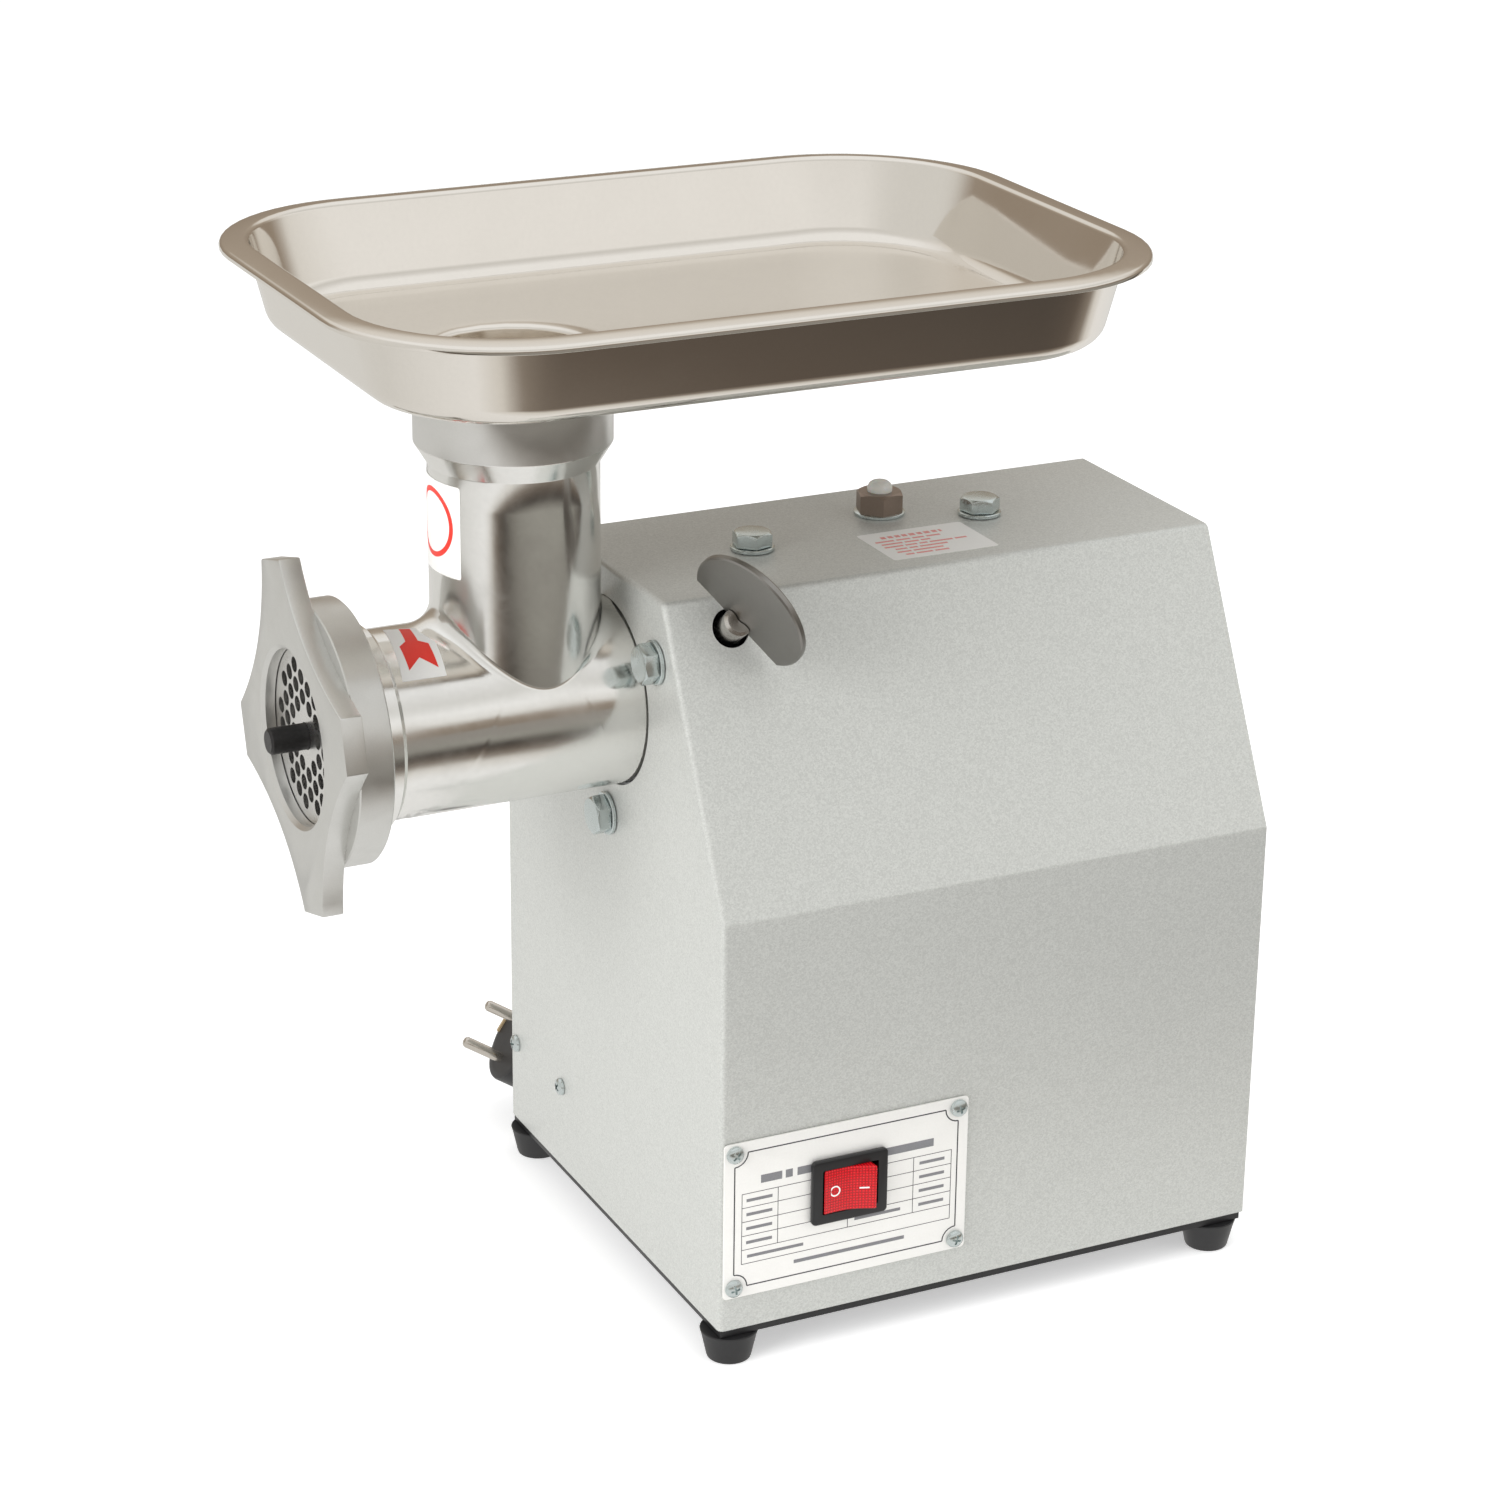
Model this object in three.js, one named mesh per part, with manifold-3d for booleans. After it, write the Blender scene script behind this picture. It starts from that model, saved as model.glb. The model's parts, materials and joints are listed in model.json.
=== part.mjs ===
// Electric meat grinder: a sheet-metal housing with a geared motor, a removable grinding head and a
// feed tray. Millimetres, +Z up. X runs along the auger from the head (-X) to the rear (+X), and the
// switch side faces -Y. Inside `machine`, x = 0 is the front face of the housing and z = 0 the floor.
import * as THREE from "three";
import { mergeVertices } from "three/addons/utils/BufferGeometryUtils.js";
import Module from "manifold-3d";

const wasm = await Module();
wasm.setup();

// ---------------------------------------------------------------- driving dimensions
const GAP = 0.3; // clearance between pieces that touch or slide on each other
const SIDES = 24; // facets of a large turned surface
const HEAD_SIDES = 36; // facets of the grinding head and of what it fits
const SMALL_SIDES = 10; // facets of a small turned surface

const HOUSING_LENGTH = 237;
const HOUSING_WIDTH = 208;
const HOUSING_TOP_WIDTH = 98.5;
const HOUSING_BOTTOM = 16; // lower edge of the sheet above the floor
const HOUSING_FOLD_RISE = 170; // from the lower edge to the fold of the slanted panels
const HOUSING_RISE = 279; // from the lower edge to the flat top
const SHEET = 1.5;
const REAR_FLANGE = 13; // width of the turned-in edge that the rear cover screws to

const BASE_THICKNESS = 3;
const FOOT_TOP_RADIUS = 11.5;
const FOOT_BOTTOM_RADIUS = 8.8;
const FOOT_INSET_FRONT = 8.5;
const FOOT_INSET_REAR = 11;
const FOOT_INSET_SIDE = 9;
const FOOT_STUD_RADIUS = 2.8;

const BARREL_RADIUS = 36.5;
const BARREL_BORE = 31;
const BARREL_REACH = 118; // front face of the housing to the barrel's mouth
const SPIGOT_DEPTH = 40; // length of the barrel inside the gearbox socket
const THREAD_LENGTH = 21;
const MOUTH_WALL = 4; // thread's crest outside the seat of the perforated plate
const MOUTH_DEPTH = 13; // counterbore that seats the knife and the plate
const HEAD_WALL = 12; // rear wall of the barrel, which carries the auger's journal

const THROAT_SETBACK = 38.4; // front face of the housing to the throat's axis
const THROAT_RADIUS = 32.4;
const THROAT_BORE = 27.5;
const COLLAR_RADIUS = 37.4;
const COLLAR_HEIGHT = 34;
const COLLAR_CHAMFER = 7.8;
const COLLAR_SEAT_WALL = 6.4; // wall left around the seat of the spout
const COLLAR_TOP_RISE = 139.4; // auger's axis to the top of the collar

const PLATE_RADIUS = 34.9;
const PLATE_THICKNESS = 7;
const PLATE_HOLE_RADIUS = 3.05;
const PLATE_HOLE_PITCH = 7.5;
const PLATE_HOLE_TURN = 20.8; // degrees from level to a row of holes
const PLATE_HOLE_EDGE = 3.4; // metal left outside the outermost holes
const PLATE_KEY_WIDTH = 5;
const KNIFE_THICKNESS = 9;
const KNIFE_INSET = 2.4; // tips of the blades inside the plate's edge
const KNIFE_BLADE_WIDTH = 12;
const KNIFE_SQUARE = 12;

const AUGER_CORE_RADIUS = 10;
const AUGER_PITCH = 36;
const AUGER_CLEARANCE = 0.9;
const AUGER_FLIGHT_THICKNESS = 5;
const JOURNAL_RADIUS = 12.5;
const STUD_RADIUS = 5;
const STUD_PROTRUSION = 20; // stud's end in front of the barrel's mouth
const TANG_SQUARE = 13.4;
const TANG_LENGTH = 22;

const NUT_PLATE_THICKNESS = 8.5;
const NUT_LIP = 5.3;
const NUT_COVER = 1.3; // how far the nut's lip covers the plate's edge
const NUT_WALL = 11; // skirt's wall outside the thread
const NUT_SKIRT_LENGTH = 13.4;
const NUT_LONG_WING = 16.2; // reach of the wings beyond the skirt
const NUT_SHORT_WING = 8.2;
const NUT_TIP_WIDTH = 21;
const NUT_TURN = 15.8; // degrees that the tightened nut stands past upright

const TRAY_LENGTH = 324;
const TRAY_WIDTH = 234;
const TRAY_CORNER = 68;
const TRAY_DEPTH = 34.7;
const TRAY_RIM = 9.6;
const TRAY_LIP = 2.6;
const TRAY_TAPER = 8.4; // how far the walls lean in from the rim to the bottom
const TRAY_SHEET = 1.2;
const TRAY_FILLET = 6;
const TRAY_OFFSET = 70.2; // tray's centre behind the throat's axis
const SPOUT_LENGTH = 24;
const SPOUT_WALL = 1.4;

const GEARBOX_SOCKET_WALL = 9;
const GEARBOX_HEADROOM = 3; // gear case's tunnel to the top sheet
const GEAR_CLEARANCE = 2.4; // output gear's teeth to the sides of the chamber
const GEAR_HEADROOM = 1.1; // output gear's teeth to the roof of the chamber
const CHAMBER_HEADROOM = 4; // chamber's roof to the top sheet
const PANEL_CLEARANCE = 2; // chamber to the sheet of the slanted panels
const CHAMBER_START = 120;
const CHAMBER_END = 172;
const CHAMBER_WALL = 4;
const COVER_THICKNESS = 8;
const SHAFT_RADIUS = 12.5;
const SHAFT_TAIL_RADIUS = 10;
const BEARING_RADIUS = 23;
const BEARING_WIDTH = 13;
const TAIL_BEARING_RADIUS = 18;
const LAYSHAFT_RADIUS = 8;
const OUTPUT_MODULE = 2.5;
const OUTPUT_TEETH = 30;
const OUTPUT_PINION_TEETH = 12;
const INPUT_MODULE = 1.75;
const INPUT_TEETH = 41;
const INPUT_PINION_TEETH = 14;
const OUTPUT_FACE_WIDTH = 20;
const INPUT_FACE_WIDTH = 9;

const MOTOR_CLEARANCE = 5.125; // gear case's tunnel to the motor's shell
const MOTOR_SHELL_WALL = 2.5;
const MOTOR_BELL = 7;
const ROTOR_RADIUS = 28;
const ROTOR_LENGTH = 46;
const ROTOR_SHAFT_RADIUS = 7;
const AIR_GAP = 0.8;
const FAN_RADIUS = 40;
const FAN_BLADES = 8;

const LOCK_SETBACK = 25.7; // front face of the housing to the lock screw's axis
const LOCK_ANGLE = 54.6; // degrees that the lock screw leans from upright towards -Y
const LOCK_RADIUS = 5.7;
const LOCK_HOLE_RADIUS = 7.5;
const LOCK_PROUD = 9.13; // outer end of the lock screw beyond the slanted panel
const LOCK_DISC_RADIUS = 25.3;
const LOCK_DISC_THICKNESS = 3;
const LOCK_DISC_RISE = 8; // centre of the disc beyond the end of the screw
const LOCK_DISC_CHORD = 12; // straight edge of the disc below its centre
const LOCK_DISC_TURN = -58.1; // degrees that the disc is turned about the screw

const BOLT_RADIUS = 4;
const BOLT_FLATS = 14;
const BOLT_HEAD = 5.6;
const FLANGE_BOLT_LENGTH = 20;
const TOP_BOLT_LENGTH = 8.5;
const WASHER_RADIUS = 8.6;
const WASHER_THICKNESS = 1.6;
const FLANGE_BOLT_OFFSET = 14.9; // flange bolts' axes outside the barrel
const FLANGE_BOLT_ANGLES = [30, 150, 270]; // seen from the front, from -Y towards +Z
const FLANGE_BOSS_RADIUS = 9;
const FLANGE_BOSS_LENGTH = 16;
const TOP_BOLT_FRONT = [58.7, -4.7];
const TOP_BOLT_REAR = [160.6, -1.3];
const VENT_PLACE = [124.7, 15.9];
const VENT_FLATS = 17;
const VENT_HEIGHT = 9;
const VENT_STEM_RADIUS = 6;
const VENT_CAP_RADIUS = 5.5;
const VENT_CAP_HEIGHT = 4.4;

const NAMEPLATE_LENGTH = 105;
const NAMEPLATE_HEIGHT = 66;
const NAMEPLATE_INSET = 1;
const NAMEPLATE_RISE = 14.2; // sheet's lower edge to the plate's lower edge
const NAMEPLATE_THICKNESS = 0.8;
const NAMEPLATE_SCREW_INSET = 4.4;
const SCREW_RADIUS = 1.6;
const SCREW_HEAD_RADIUS = 3.6;
const SCREW_HEAD = 2.2;
const SCREW_LENGTH = 8;
const FRONT_SCREWS = [[97, 35.6], [49, 36.7]]; // across and above the sheet's lower edge
const REAR_SCREW_RISE = 20;

const SWITCH_CENTRE = 53.7;
const SWITCH_RISE = 52.7; // sheet's lower edge to the switch's centre
const SWITCH_LENGTH = 32.4;
const SWITCH_HEIGHT = 27.3;
const SWITCH_FRAME = 4.2;
const SWITCH_PROUD = 2.4;
const SWITCH_DEPTH = 22;
const ROCKER_PIVOT_DEPTH = 4;
const ROCKER_STAND = 0.2;
const ROCKER_TILT = 10; // degrees either side of level

const CAPACITOR_RADIUS = 17;
const CAPACITOR_LENGTH = 70;

const CORD_RADIUS = 3.6;
const GLAND_SIDE = 60; // gland's place across the rear cover
const GLAND_RISE = 30; // sheet's lower edge to the gland's axis
const GLAND_RADIUS = 11;
const GLAND_FLANGE = 8;
const GLAND_TAPER = 30;
const COIL_CENTRE = [112, 162];
const COIL_RADIUS = 40; // middle of the turns
const COIL_HALF_WIDTH = 7.2;
const COIL_HEIGHT = 14.4;
const PLUG_TAIL = [50, 128.5, 11]; // where the cord enters the plug
const PLUG_LEAN = 32; // degrees that the plug's pins point up
const PLUG_BEARING = 171; // degrees from +X to the plug's pins, seen from above
const PLUG_LENGTH = 44;
const PLUG_FACE_RADIUS = 18.5;
const PIN_RADIUS = 2.4;
const PIN_LENGTH = 19;
const PIN_SPACING = 19;

// ---------------------------------------------------------------- derived places
const THREAD_RADIUS = PLATE_RADIUS + GAP + MOUTH_WALL;
const KNIFE_REACH = PLATE_RADIUS - KNIFE_INSET;
const NUT_OPENING = PLATE_RADIUS - NUT_COVER;
const NUT_SKIRT_RADIUS = THREAD_RADIUS + 2 * GAP + NUT_WALL;
const FLANGE_BOLT_CIRCLE = BARREL_RADIUS + FLANGE_BOLT_OFFSET;
const GEAR_TIP = 0.85; // height of a tooth's tip above the pitch circle, in modules
const OUTPUT_TIP_RADIUS = OUTPUT_MODULE * (OUTPUT_TEETH / 2 + GEAR_TIP);
const CHAMBER_HALF_WIDTH = OUTPUT_TIP_RADIUS + GEAR_CLEARANCE + CHAMBER_WALL;
const AUGER_AXIS_DROP = SHEET + Math.max( // flat top of the housing down to the auger's axis
  GAP + GEARBOX_HEADROOM + GEARBOX_SOCKET_WALL + BARREL_RADIUS,
  CHAMBER_HEADROOM + CHAMBER_WALL + GEAR_HEADROOM + OUTPUT_TIP_RADIUS,
);
const FOLD_Z = HOUSING_BOTTOM + HOUSING_FOLD_RISE;
const TOP_Z = HOUSING_BOTTOM + HOUSING_RISE;
const AXIS_Z = TOP_Z - AUGER_AXIS_DROP;
const BASE_TOP = HOUSING_BOTTOM - GAP;
const BASE_BOTTOM = BASE_TOP - BASE_THICKNESS;
const OUTPUT_CENTRES = OUTPUT_MODULE * (OUTPUT_TEETH + OUTPUT_PINION_TEETH) / 2;
const INPUT_CENTRES = INPUT_MODULE * (INPUT_TEETH + INPUT_PINION_TEETH) / 2;
const MOTOR_RADIUS = OUTPUT_CENTRES + INPUT_CENTRES - BARREL_RADIUS - GEARBOX_SOCKET_WALL - MOTOR_CLEARANCE;
const LAYSHAFT_Z = AXIS_Z - OUTPUT_CENTRES;
const MOTOR_Z = LAYSHAFT_Z - INPUT_CENTRES;
const STUD_END = -BARREL_REACH - STUD_PROTRUSION;
const PLATE_BACK = -BARREL_REACH + 1.8;
const PLATE_FRONT = PLATE_BACK - PLATE_THICKNESS;
const KNIFE_BACK = PLATE_BACK + GAP + KNIFE_THICKNESS;
const NUT_FRONT = PLATE_FRONT - GAP - NUT_LIP;
const NUT_BACK = NUT_FRONT + NUT_PLATE_THICKNESS + NUT_SKIRT_LENGTH;
const COLLAR_TOP = AXIS_Z + COLLAR_TOP_RISE;
const TRAY_BOTTOM = COLLAR_TOP + GAP;
const SOCKET_END = SPIGOT_DEPTH + GAP;
const SIDE_Y = HOUSING_WIDTH / 2;
const MOTOR_START = SHEET + 3 * GAP + FLANGE_BOSS_LENGTH + MOTOR_BELL;
const MOTOR_END = CHAMBER_START - GAP - MOTOR_BELL - GAP;
const CHAMBER_LOW = MOTOR_Z - 32;
const CHAMBER_HIGH = TOP_Z - SHEET - CHAMBER_HEADROOM;
const INPUT_GEAR_START = CHAMBER_START + CHAMBER_WALL + 2;
const OUTPUT_GEAR_START = INPUT_GEAR_START + INPUT_FACE_WIDTH + 4;
const COVER_END = CHAMBER_END + GAP + COVER_THICKNESS;
const GLAND_Z = HOUSING_BOTTOM + GLAND_RISE;
const GLAND_END = HOUSING_LENGTH + GLAND_FLANGE + GLAND_TAPER + GAP;

// ---------------------------------------------------------------- finishes
const finish = (color, roughness, metalness) => ({ color, roughness, metalness });
const PAINT = finish(0xc6c9c6, 0.5, 0.3);
const BLACK_STEEL = finish(0x161616, 0.5, 0.2);
const RUBBER = finish(0x1b1b1c, 0.8, 0);
const CAST = finish(0xc9c9c6, 0.3, 0.9);
const STAINLESS = finish(0xcfccc4, 0.15, 1);
const STEEL = finish(0x9a9a98, 0.35, 0.9);
const ZINC = finish(0xb4bfbf, 0.35, 0.85);
const CAST_CASE = finish(0x8d9092, 0.55, 0.6);
const WINDING = finish(0x8a4a22, 0.5, 0.4);
const BRONZE = finish(0x6a5648, 0.4, 0.6);
const PLASTIC = finish(0x141414, 0.4, 0);
const RED = finish(0xc01818, 0.25, 0);
const MILKY = finish(0xdad8d0, 0.3, 0);
const PLATE_FACE = finish(0xd8d8d4, 0.4, 0.5);

// ---------------------------------------------------------------- solids
/** Turns a closed three.js geometry into a manifold solid with its faces pointing out. */
function solid(geometry) {
  const bare = new THREE.BufferGeometry();
  bare.setAttribute("position", geometry.getAttribute("position").clone());
  if (geometry.index) bare.setIndex(geometry.index.clone());
  const merged = mergeVertices(bare, 1e-4);
  const points = merged.getAttribute("position");
  const index = Array.from(merged.index.array);
  const corner = [new THREE.Vector3(), new THREE.Vector3(), new THREE.Vector3()];
  const triangles = [];
  let volume = 0;
  for (let i = 0; i < index.length; i += 3) {
    const [a, b, c] = index.slice(i, i + 3);
    if (a === b || b === c || a === c) continue;
    [a, b, c].forEach((vertex, k) => corner[k].fromBufferAttribute(points, vertex));
    volume += corner[0].dot(corner[1].cross(corner[2]));
    triangles.push(a, b, c);
  }
  if (volume < 0) triangles.reverse();
  return new wasm.Manifold(new wasm.Mesh({
    numProp: 3,
    vertProperties: new Float32Array(points.array),
    triVerts: new Uint32Array(triangles),
  }));
}

const join = (...solids) => solids.reduce((whole, next) => whole.add(next));
const cut = (body, ...tools) => tools.reduce((rest, tool) => rest.subtract(tool), body);

/** Box between two corners. */
function box([x0, y0, z0], [x1, y1, z1]) {
  const geometry = new THREE.BoxGeometry(x1 - x0, y1 - y0, z1 - z0);
  return solid(geometry.translate((x0 + x1) / 2, (y0 + y1) / 2, (z0 + z1) / 2));
}

/** Turned solid along X from [radius, x] points; it starts and ends on the axis or closes on itself. */
function turned(profile, sides = SIDES) {
  const points = profile.map(([radius, x]) => new THREE.Vector2(radius, x));
  return solid(new THREE.LatheGeometry(points, sides).rotateZ(-Math.PI / 2));
}

/** Round bar along X. */
const bar = (radius, x0, x1, sides = SIDES) =>
  turned([[0, x0], [radius, x0], [radius, x1], [0, x1]], sides);

/** Ring along X. */
const ring = (inner, outer, x0, x1, sides = SIDES) =>
  turned([[inner, x0], [outer, x0], [outer, x1], [inner, x1], [inner, x0]], sides);

/** Hexagonal bar along X, measured across its flats. */
const hexBar = (flats, x0, x1) => bar(flats / Math.sqrt(3), x0, x1, 6);

/** Square bar along X. */
const squareBar = (side, x0, x1) => box([x0, -side / 2, -side / 2], [x1, side / 2, side / 2]);

/** Extrudes a flat outline along X; the outline's own axes become Y and Z. */
function plate(shape, x0, x1, curveSegments = 8) {
  const geometry = new THREE.ExtrudeGeometry(shape, {
    depth: x1 - x0, bevelEnabled: false, curveSegments,
  });
  return solid(geometry.rotateX(Math.PI / 2).rotateZ(Math.PI / 2).translate(x0, 0, 0));
}

const moved = (body, x, y, z) => body.translate([x, y, z]);
const upright = (body) => body.rotate([0, -90, 0]); // +X becomes +Z
const towardsSwitchSide = (body) => body.rotate([0, 0, -90]); // +X becomes -Y
const degrees = (angle) => THREE.MathUtils.degToRad(angle);

/** Adds a named mesh to a group, at a place in that group. */
function addPiece(group, name, body, look, [x, y, z] = [0, 0, 0]) {
  const { vertProperties, triVerts } = body.getMesh();
  const geometry = new THREE.BufferGeometry();
  geometry.setAttribute("position", new THREE.BufferAttribute(new Float32Array(vertProperties), 3));
  geometry.setIndex(Array.from(triVerts));
  const mesh = new THREE.Mesh(geometry, new THREE.MeshStandardMaterial(look));
  mesh.name = name;
  mesh.position.set(x, y, z);
  group.add(mesh);
  return mesh;
}

/** Adds a nested group at a place, turned about its own axes. */
function addGroup(parent, [x, y, z], [rx, ry, rz] = [0, 0, 0]) {
  const group = new THREE.Group();
  group.position.set(x, y, z);
  group.rotation.set(rx, ry, rz);
  parent.add(group);
  return group;
}

// ---------------------------------------------------------------- housing
/** Direction square to the slanted panel on the +Y side, and its distance from the origin. */
const panelNormal = new THREE.Vector2(TOP_Z - FOLD_Z, (HOUSING_WIDTH - HOUSING_TOP_WIDTH) / 2).normalize();
const panelDistance = panelNormal.x * SIDE_Y + panelNormal.y * FOLD_Z;
const LOCK_REACH = LOCK_PROUD + (panelDistance - panelNormal.y * AXIS_Z)
  / (panelNormal.x * Math.sin(degrees(LOCK_ANGLE)) + panelNormal.y * Math.cos(degrees(LOCK_ANGLE)));

/** Six-sided section of the housing, drawn in by `inset`, from height `bottom` upwards. */
function housingOutline(inset, bottom) {
  const side = SIDE_Y - inset;
  const top = TOP_Z - inset;
  const foldZ = (panelDistance - inset - panelNormal.x * side) / panelNormal.y;
  const topY = (panelDistance - inset - panelNormal.y * top) / panelNormal.x;
  const corners = [[side, bottom], [side, foldZ], [topY, top], [-topY, top], [-side, foldZ], [-side, bottom]];
  return new THREE.Shape(corners.map(([y, z]) => new THREE.Vector2(y, z)));
}

const topOpenings = [
  [TOP_BOLT_FRONT, BOLT_RADIUS],
  [TOP_BOLT_REAR, BOLT_RADIUS],
  [VENT_PLACE, VENT_STEM_RADIUS],
];
const boltPlaces = FLANGE_BOLT_ANGLES.map((angle) => [
  -FLANGE_BOLT_CIRCLE * Math.cos(degrees(angle)), FLANGE_BOLT_CIRCLE * Math.sin(degrees(angle)),
]);
const rearScrewPlaces = [-1, 1].flatMap((side) => [
  [side * (SIDE_Y - SHEET - REAR_FLANGE / 2), HOUSING_BOTTOM + REAR_SCREW_RISE],
  [side * (SIDE_Y - SHEET - REAR_FLANGE / 2), FOLD_Z - REAR_SCREW_RISE],
]);
const nameplateLow = HOUSING_BOTTOM + NAMEPLATE_RISE;
const nameplateScrews = [0, 1].flatMap((end) => [0, 1].map((level) => [
  NAMEPLATE_INSET + NAMEPLATE_SCREW_INSET + end * (NAMEPLATE_LENGTH - 2 * NAMEPLATE_SCREW_INSET),
  nameplateLow + NAMEPLATE_SCREW_INSET + level * (NAMEPLATE_HEIGHT - 2 * NAMEPLATE_SCREW_INSET),
]));
const switchZ = HOUSING_BOTTOM + SWITCH_RISE;
const switchBodyHalf = [SWITCH_LENGTH / 2 - 2, SWITCH_HEIGHT / 2 - 2];

/** The cut through the side sheet and the nameplate for the body of the switch. */
function switchCut() {
  const [halfLength, halfHeight] = switchBodyHalf;
  return box(
    [SWITCH_CENTRE - halfLength - GAP, -SIDE_Y - 5, switchZ - halfHeight - GAP],
    [SWITCH_CENTRE + halfLength + GAP, -SIDE_Y + 5, switchZ + halfHeight + GAP],
  );
}

/** A round cut through the slanted panel, along the lock screw. */
function lockCut(radius, from, to) {
  return moved(upright(bar(radius, from, to)).rotate([LOCK_ANGLE, 0, 0]), LOCK_SETBACK, 0, AXIS_Z);
}

function housingShell() {
  const outer = plate(housingOutline(0, HOUSING_BOTTOM), 0, HOUSING_LENGTH);
  const room = plate(housingOutline(SHEET, 0), SHEET, HOUSING_LENGTH + 1);
  const flangeBack = HOUSING_LENGTH - SHEET - GAP;
  const flange = cut(
    plate(housingOutline(SHEET / 2, HOUSING_BOTTOM), flangeBack - SHEET, flangeBack),
    plate(housingOutline(SHEET + REAR_FLANGE, 0), flangeBack - 2 * SHEET, flangeBack + SHEET),
  );
  const frontHoles = boltPlaces.map(([y, z]) =>
    moved(bar(BOLT_RADIUS + GAP, -1, SHEET + 1, SMALL_SIDES), 0, y, AXIS_Z + z));
  const frontScrewHoles = FRONT_SCREWS.map(([y, rise]) =>
    moved(bar(SCREW_RADIUS + GAP, -1, SHEET + 1, SMALL_SIDES), 0, y, HOUSING_BOTTOM + rise));
  const topHoles = topOpenings.map(([[x, y], radius]) =>
    moved(upright(bar(radius + GAP, -SHEET - 1, 1, SMALL_SIDES)), x, y, TOP_Z));
  const plateHoles = nameplateScrews.map(([x, z]) =>
    moved(towardsSwitchSide(bar(SCREW_RADIUS + GAP, -SHEET - 1, 1, SMALL_SIDES)), x, -SIDE_Y, z));
  const rearHoles = rearScrewPlaces.map(([y, z]) =>
    moved(bar(SCREW_RADIUS + GAP, flangeBack - 2 * SHEET, flangeBack + 1, SMALL_SIDES), 0, y, z));
  return cut(
    join(cut(outer, room), flange),
    moved(bar(BARREL_RADIUS + 1, -1, SHEET + 1, HEAD_SIDES), 0, 0, AXIS_Z),
    lockCut(LOCK_HOLE_RADIUS, 50, LOCK_REACH + 10),
    switchCut(), ...frontHoles, ...frontScrewHoles, ...topHoles, ...plateHoles, ...rearHoles,
  );
}

function rearCover() {
  const back = HOUSING_LENGTH;
  const louvres = [-1, 1].flatMap((side) => [0, 1, 2, 3, 4].map((row) => box(
    [back - SHEET - 1, side * 32 - 24, FOLD_Z - 60 + row * 14],
    [back + 1, side * 32 + 24, FOLD_Z - 60 + row * 14 + 5],
  )));
  const screwHoles = rearScrewPlaces.map(([y, z]) =>
    moved(bar(SCREW_RADIUS + GAP, back - SHEET - 1, back + 1, SMALL_SIDES), 0, y, z));
  const glandHole = moved(bar(CORD_RADIUS + 2.4, back - SHEET - 1, back + 1, SMALL_SIDES), 0, GLAND_SIDE, GLAND_Z);
  return cut(
    plate(housingOutline(SHEET + GAP, HOUSING_BOTTOM), back - SHEET, back),
    ...louvres, ...screwHoles, glandHole,
  );
}

const footPlaces = [
  ["foot_front_switch_side", FOOT_INSET_FRONT, -SIDE_Y + FOOT_INSET_SIDE],
  ["foot_front_far_side", FOOT_INSET_FRONT, SIDE_Y - FOOT_INSET_SIDE],
  ["foot_rear_switch_side", HOUSING_LENGTH - FOOT_INSET_REAR, -SIDE_Y + FOOT_INSET_SIDE],
  ["foot_rear_far_side", HOUSING_LENGTH - FOOT_INSET_REAR, SIDE_Y - FOOT_INSET_SIDE],
];

function basePlate() {
  const slab = box([1, -SIDE_Y + 1, BASE_BOTTOM], [HOUSING_LENGTH - 1, SIDE_Y - 1, BASE_TOP]);
  const studHoles = footPlaces.map(([, x, y]) => moved(
    upright(bar(FOOT_STUD_RADIUS + GAP, BASE_BOTTOM - 1, BASE_TOP + 1, SMALL_SIDES)), x, y, 0));
  const airSlots = [0, 1, 2, 3, 4].map((row) => box(
    [40 + row * 14, -35, BASE_BOTTOM - 1], [46 + row * 14, 35, BASE_TOP + 1]));
  return cut(slab, ...studHoles, ...airSlots);
}

/** Rubber foot with its moulded-in stud, standing on the floor. */
function foot() {
  const top = BASE_BOTTOM - GAP;
  return upright(turned([
    [0, 0], [FOOT_BOTTOM_RADIUS - 1.2, 0], [FOOT_BOTTOM_RADIUS, 1.2], [FOOT_TOP_RADIUS, top],
    [FOOT_STUD_RADIUS, top], [FOOT_STUD_RADIUS, BASE_TOP + 6], [0, BASE_TOP + 6],
  ], 16));
}

// ---------------------------------------------------------------- fasteners, outer end towards -X
const hexBolt = (length) => join(
  hexBar(BOLT_FLATS, -BOLT_HEAD, 0), bar(BOLT_RADIUS, -0.5, length, SMALL_SIDES));
const washer = () => ring(BOLT_RADIUS + GAP, WASHER_RADIUS, 0, WASHER_THICKNESS, 16);
const panScrew = () => turned([
  [0, -SCREW_HEAD], [SCREW_HEAD_RADIUS * 0.6, -SCREW_HEAD], [SCREW_HEAD_RADIUS, 0],
  [SCREW_RADIUS, 0], [SCREW_RADIUS, SCREW_LENGTH], [0, SCREW_LENGTH],
], SMALL_SIDES);

// ---------------------------------------------------------------- gear train
/** Spur gear outline with straight-flanked teeth; `phase` is in tooth pitches from +Z. */
function gearOutline(teeth, gearModule, bore, phase) {
  const pitch = gearModule * teeth / 2;
  const flank = [[-0.30, -1.2], [-0.11, GEAR_TIP], [0.11, GEAR_TIP], [0.30, -1.2]];
  const points = [];
  for (let tooth = 0; tooth < teeth; tooth += 1) {
    for (const [across, height] of flank) {
      const angle = 2 * Math.PI * (tooth + across + phase) / teeth;
      const radius = pitch + height * gearModule;
      points.push(new THREE.Vector2(radius * Math.sin(angle), radius * Math.cos(angle)));
    }
  }
  const shape = new THREE.Shape(points);
  if (bore > 0) shape.holes.push(new THREE.Path().absarc(0, 0, bore, 0, 2 * Math.PI, false));
  return shape;
}

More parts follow.
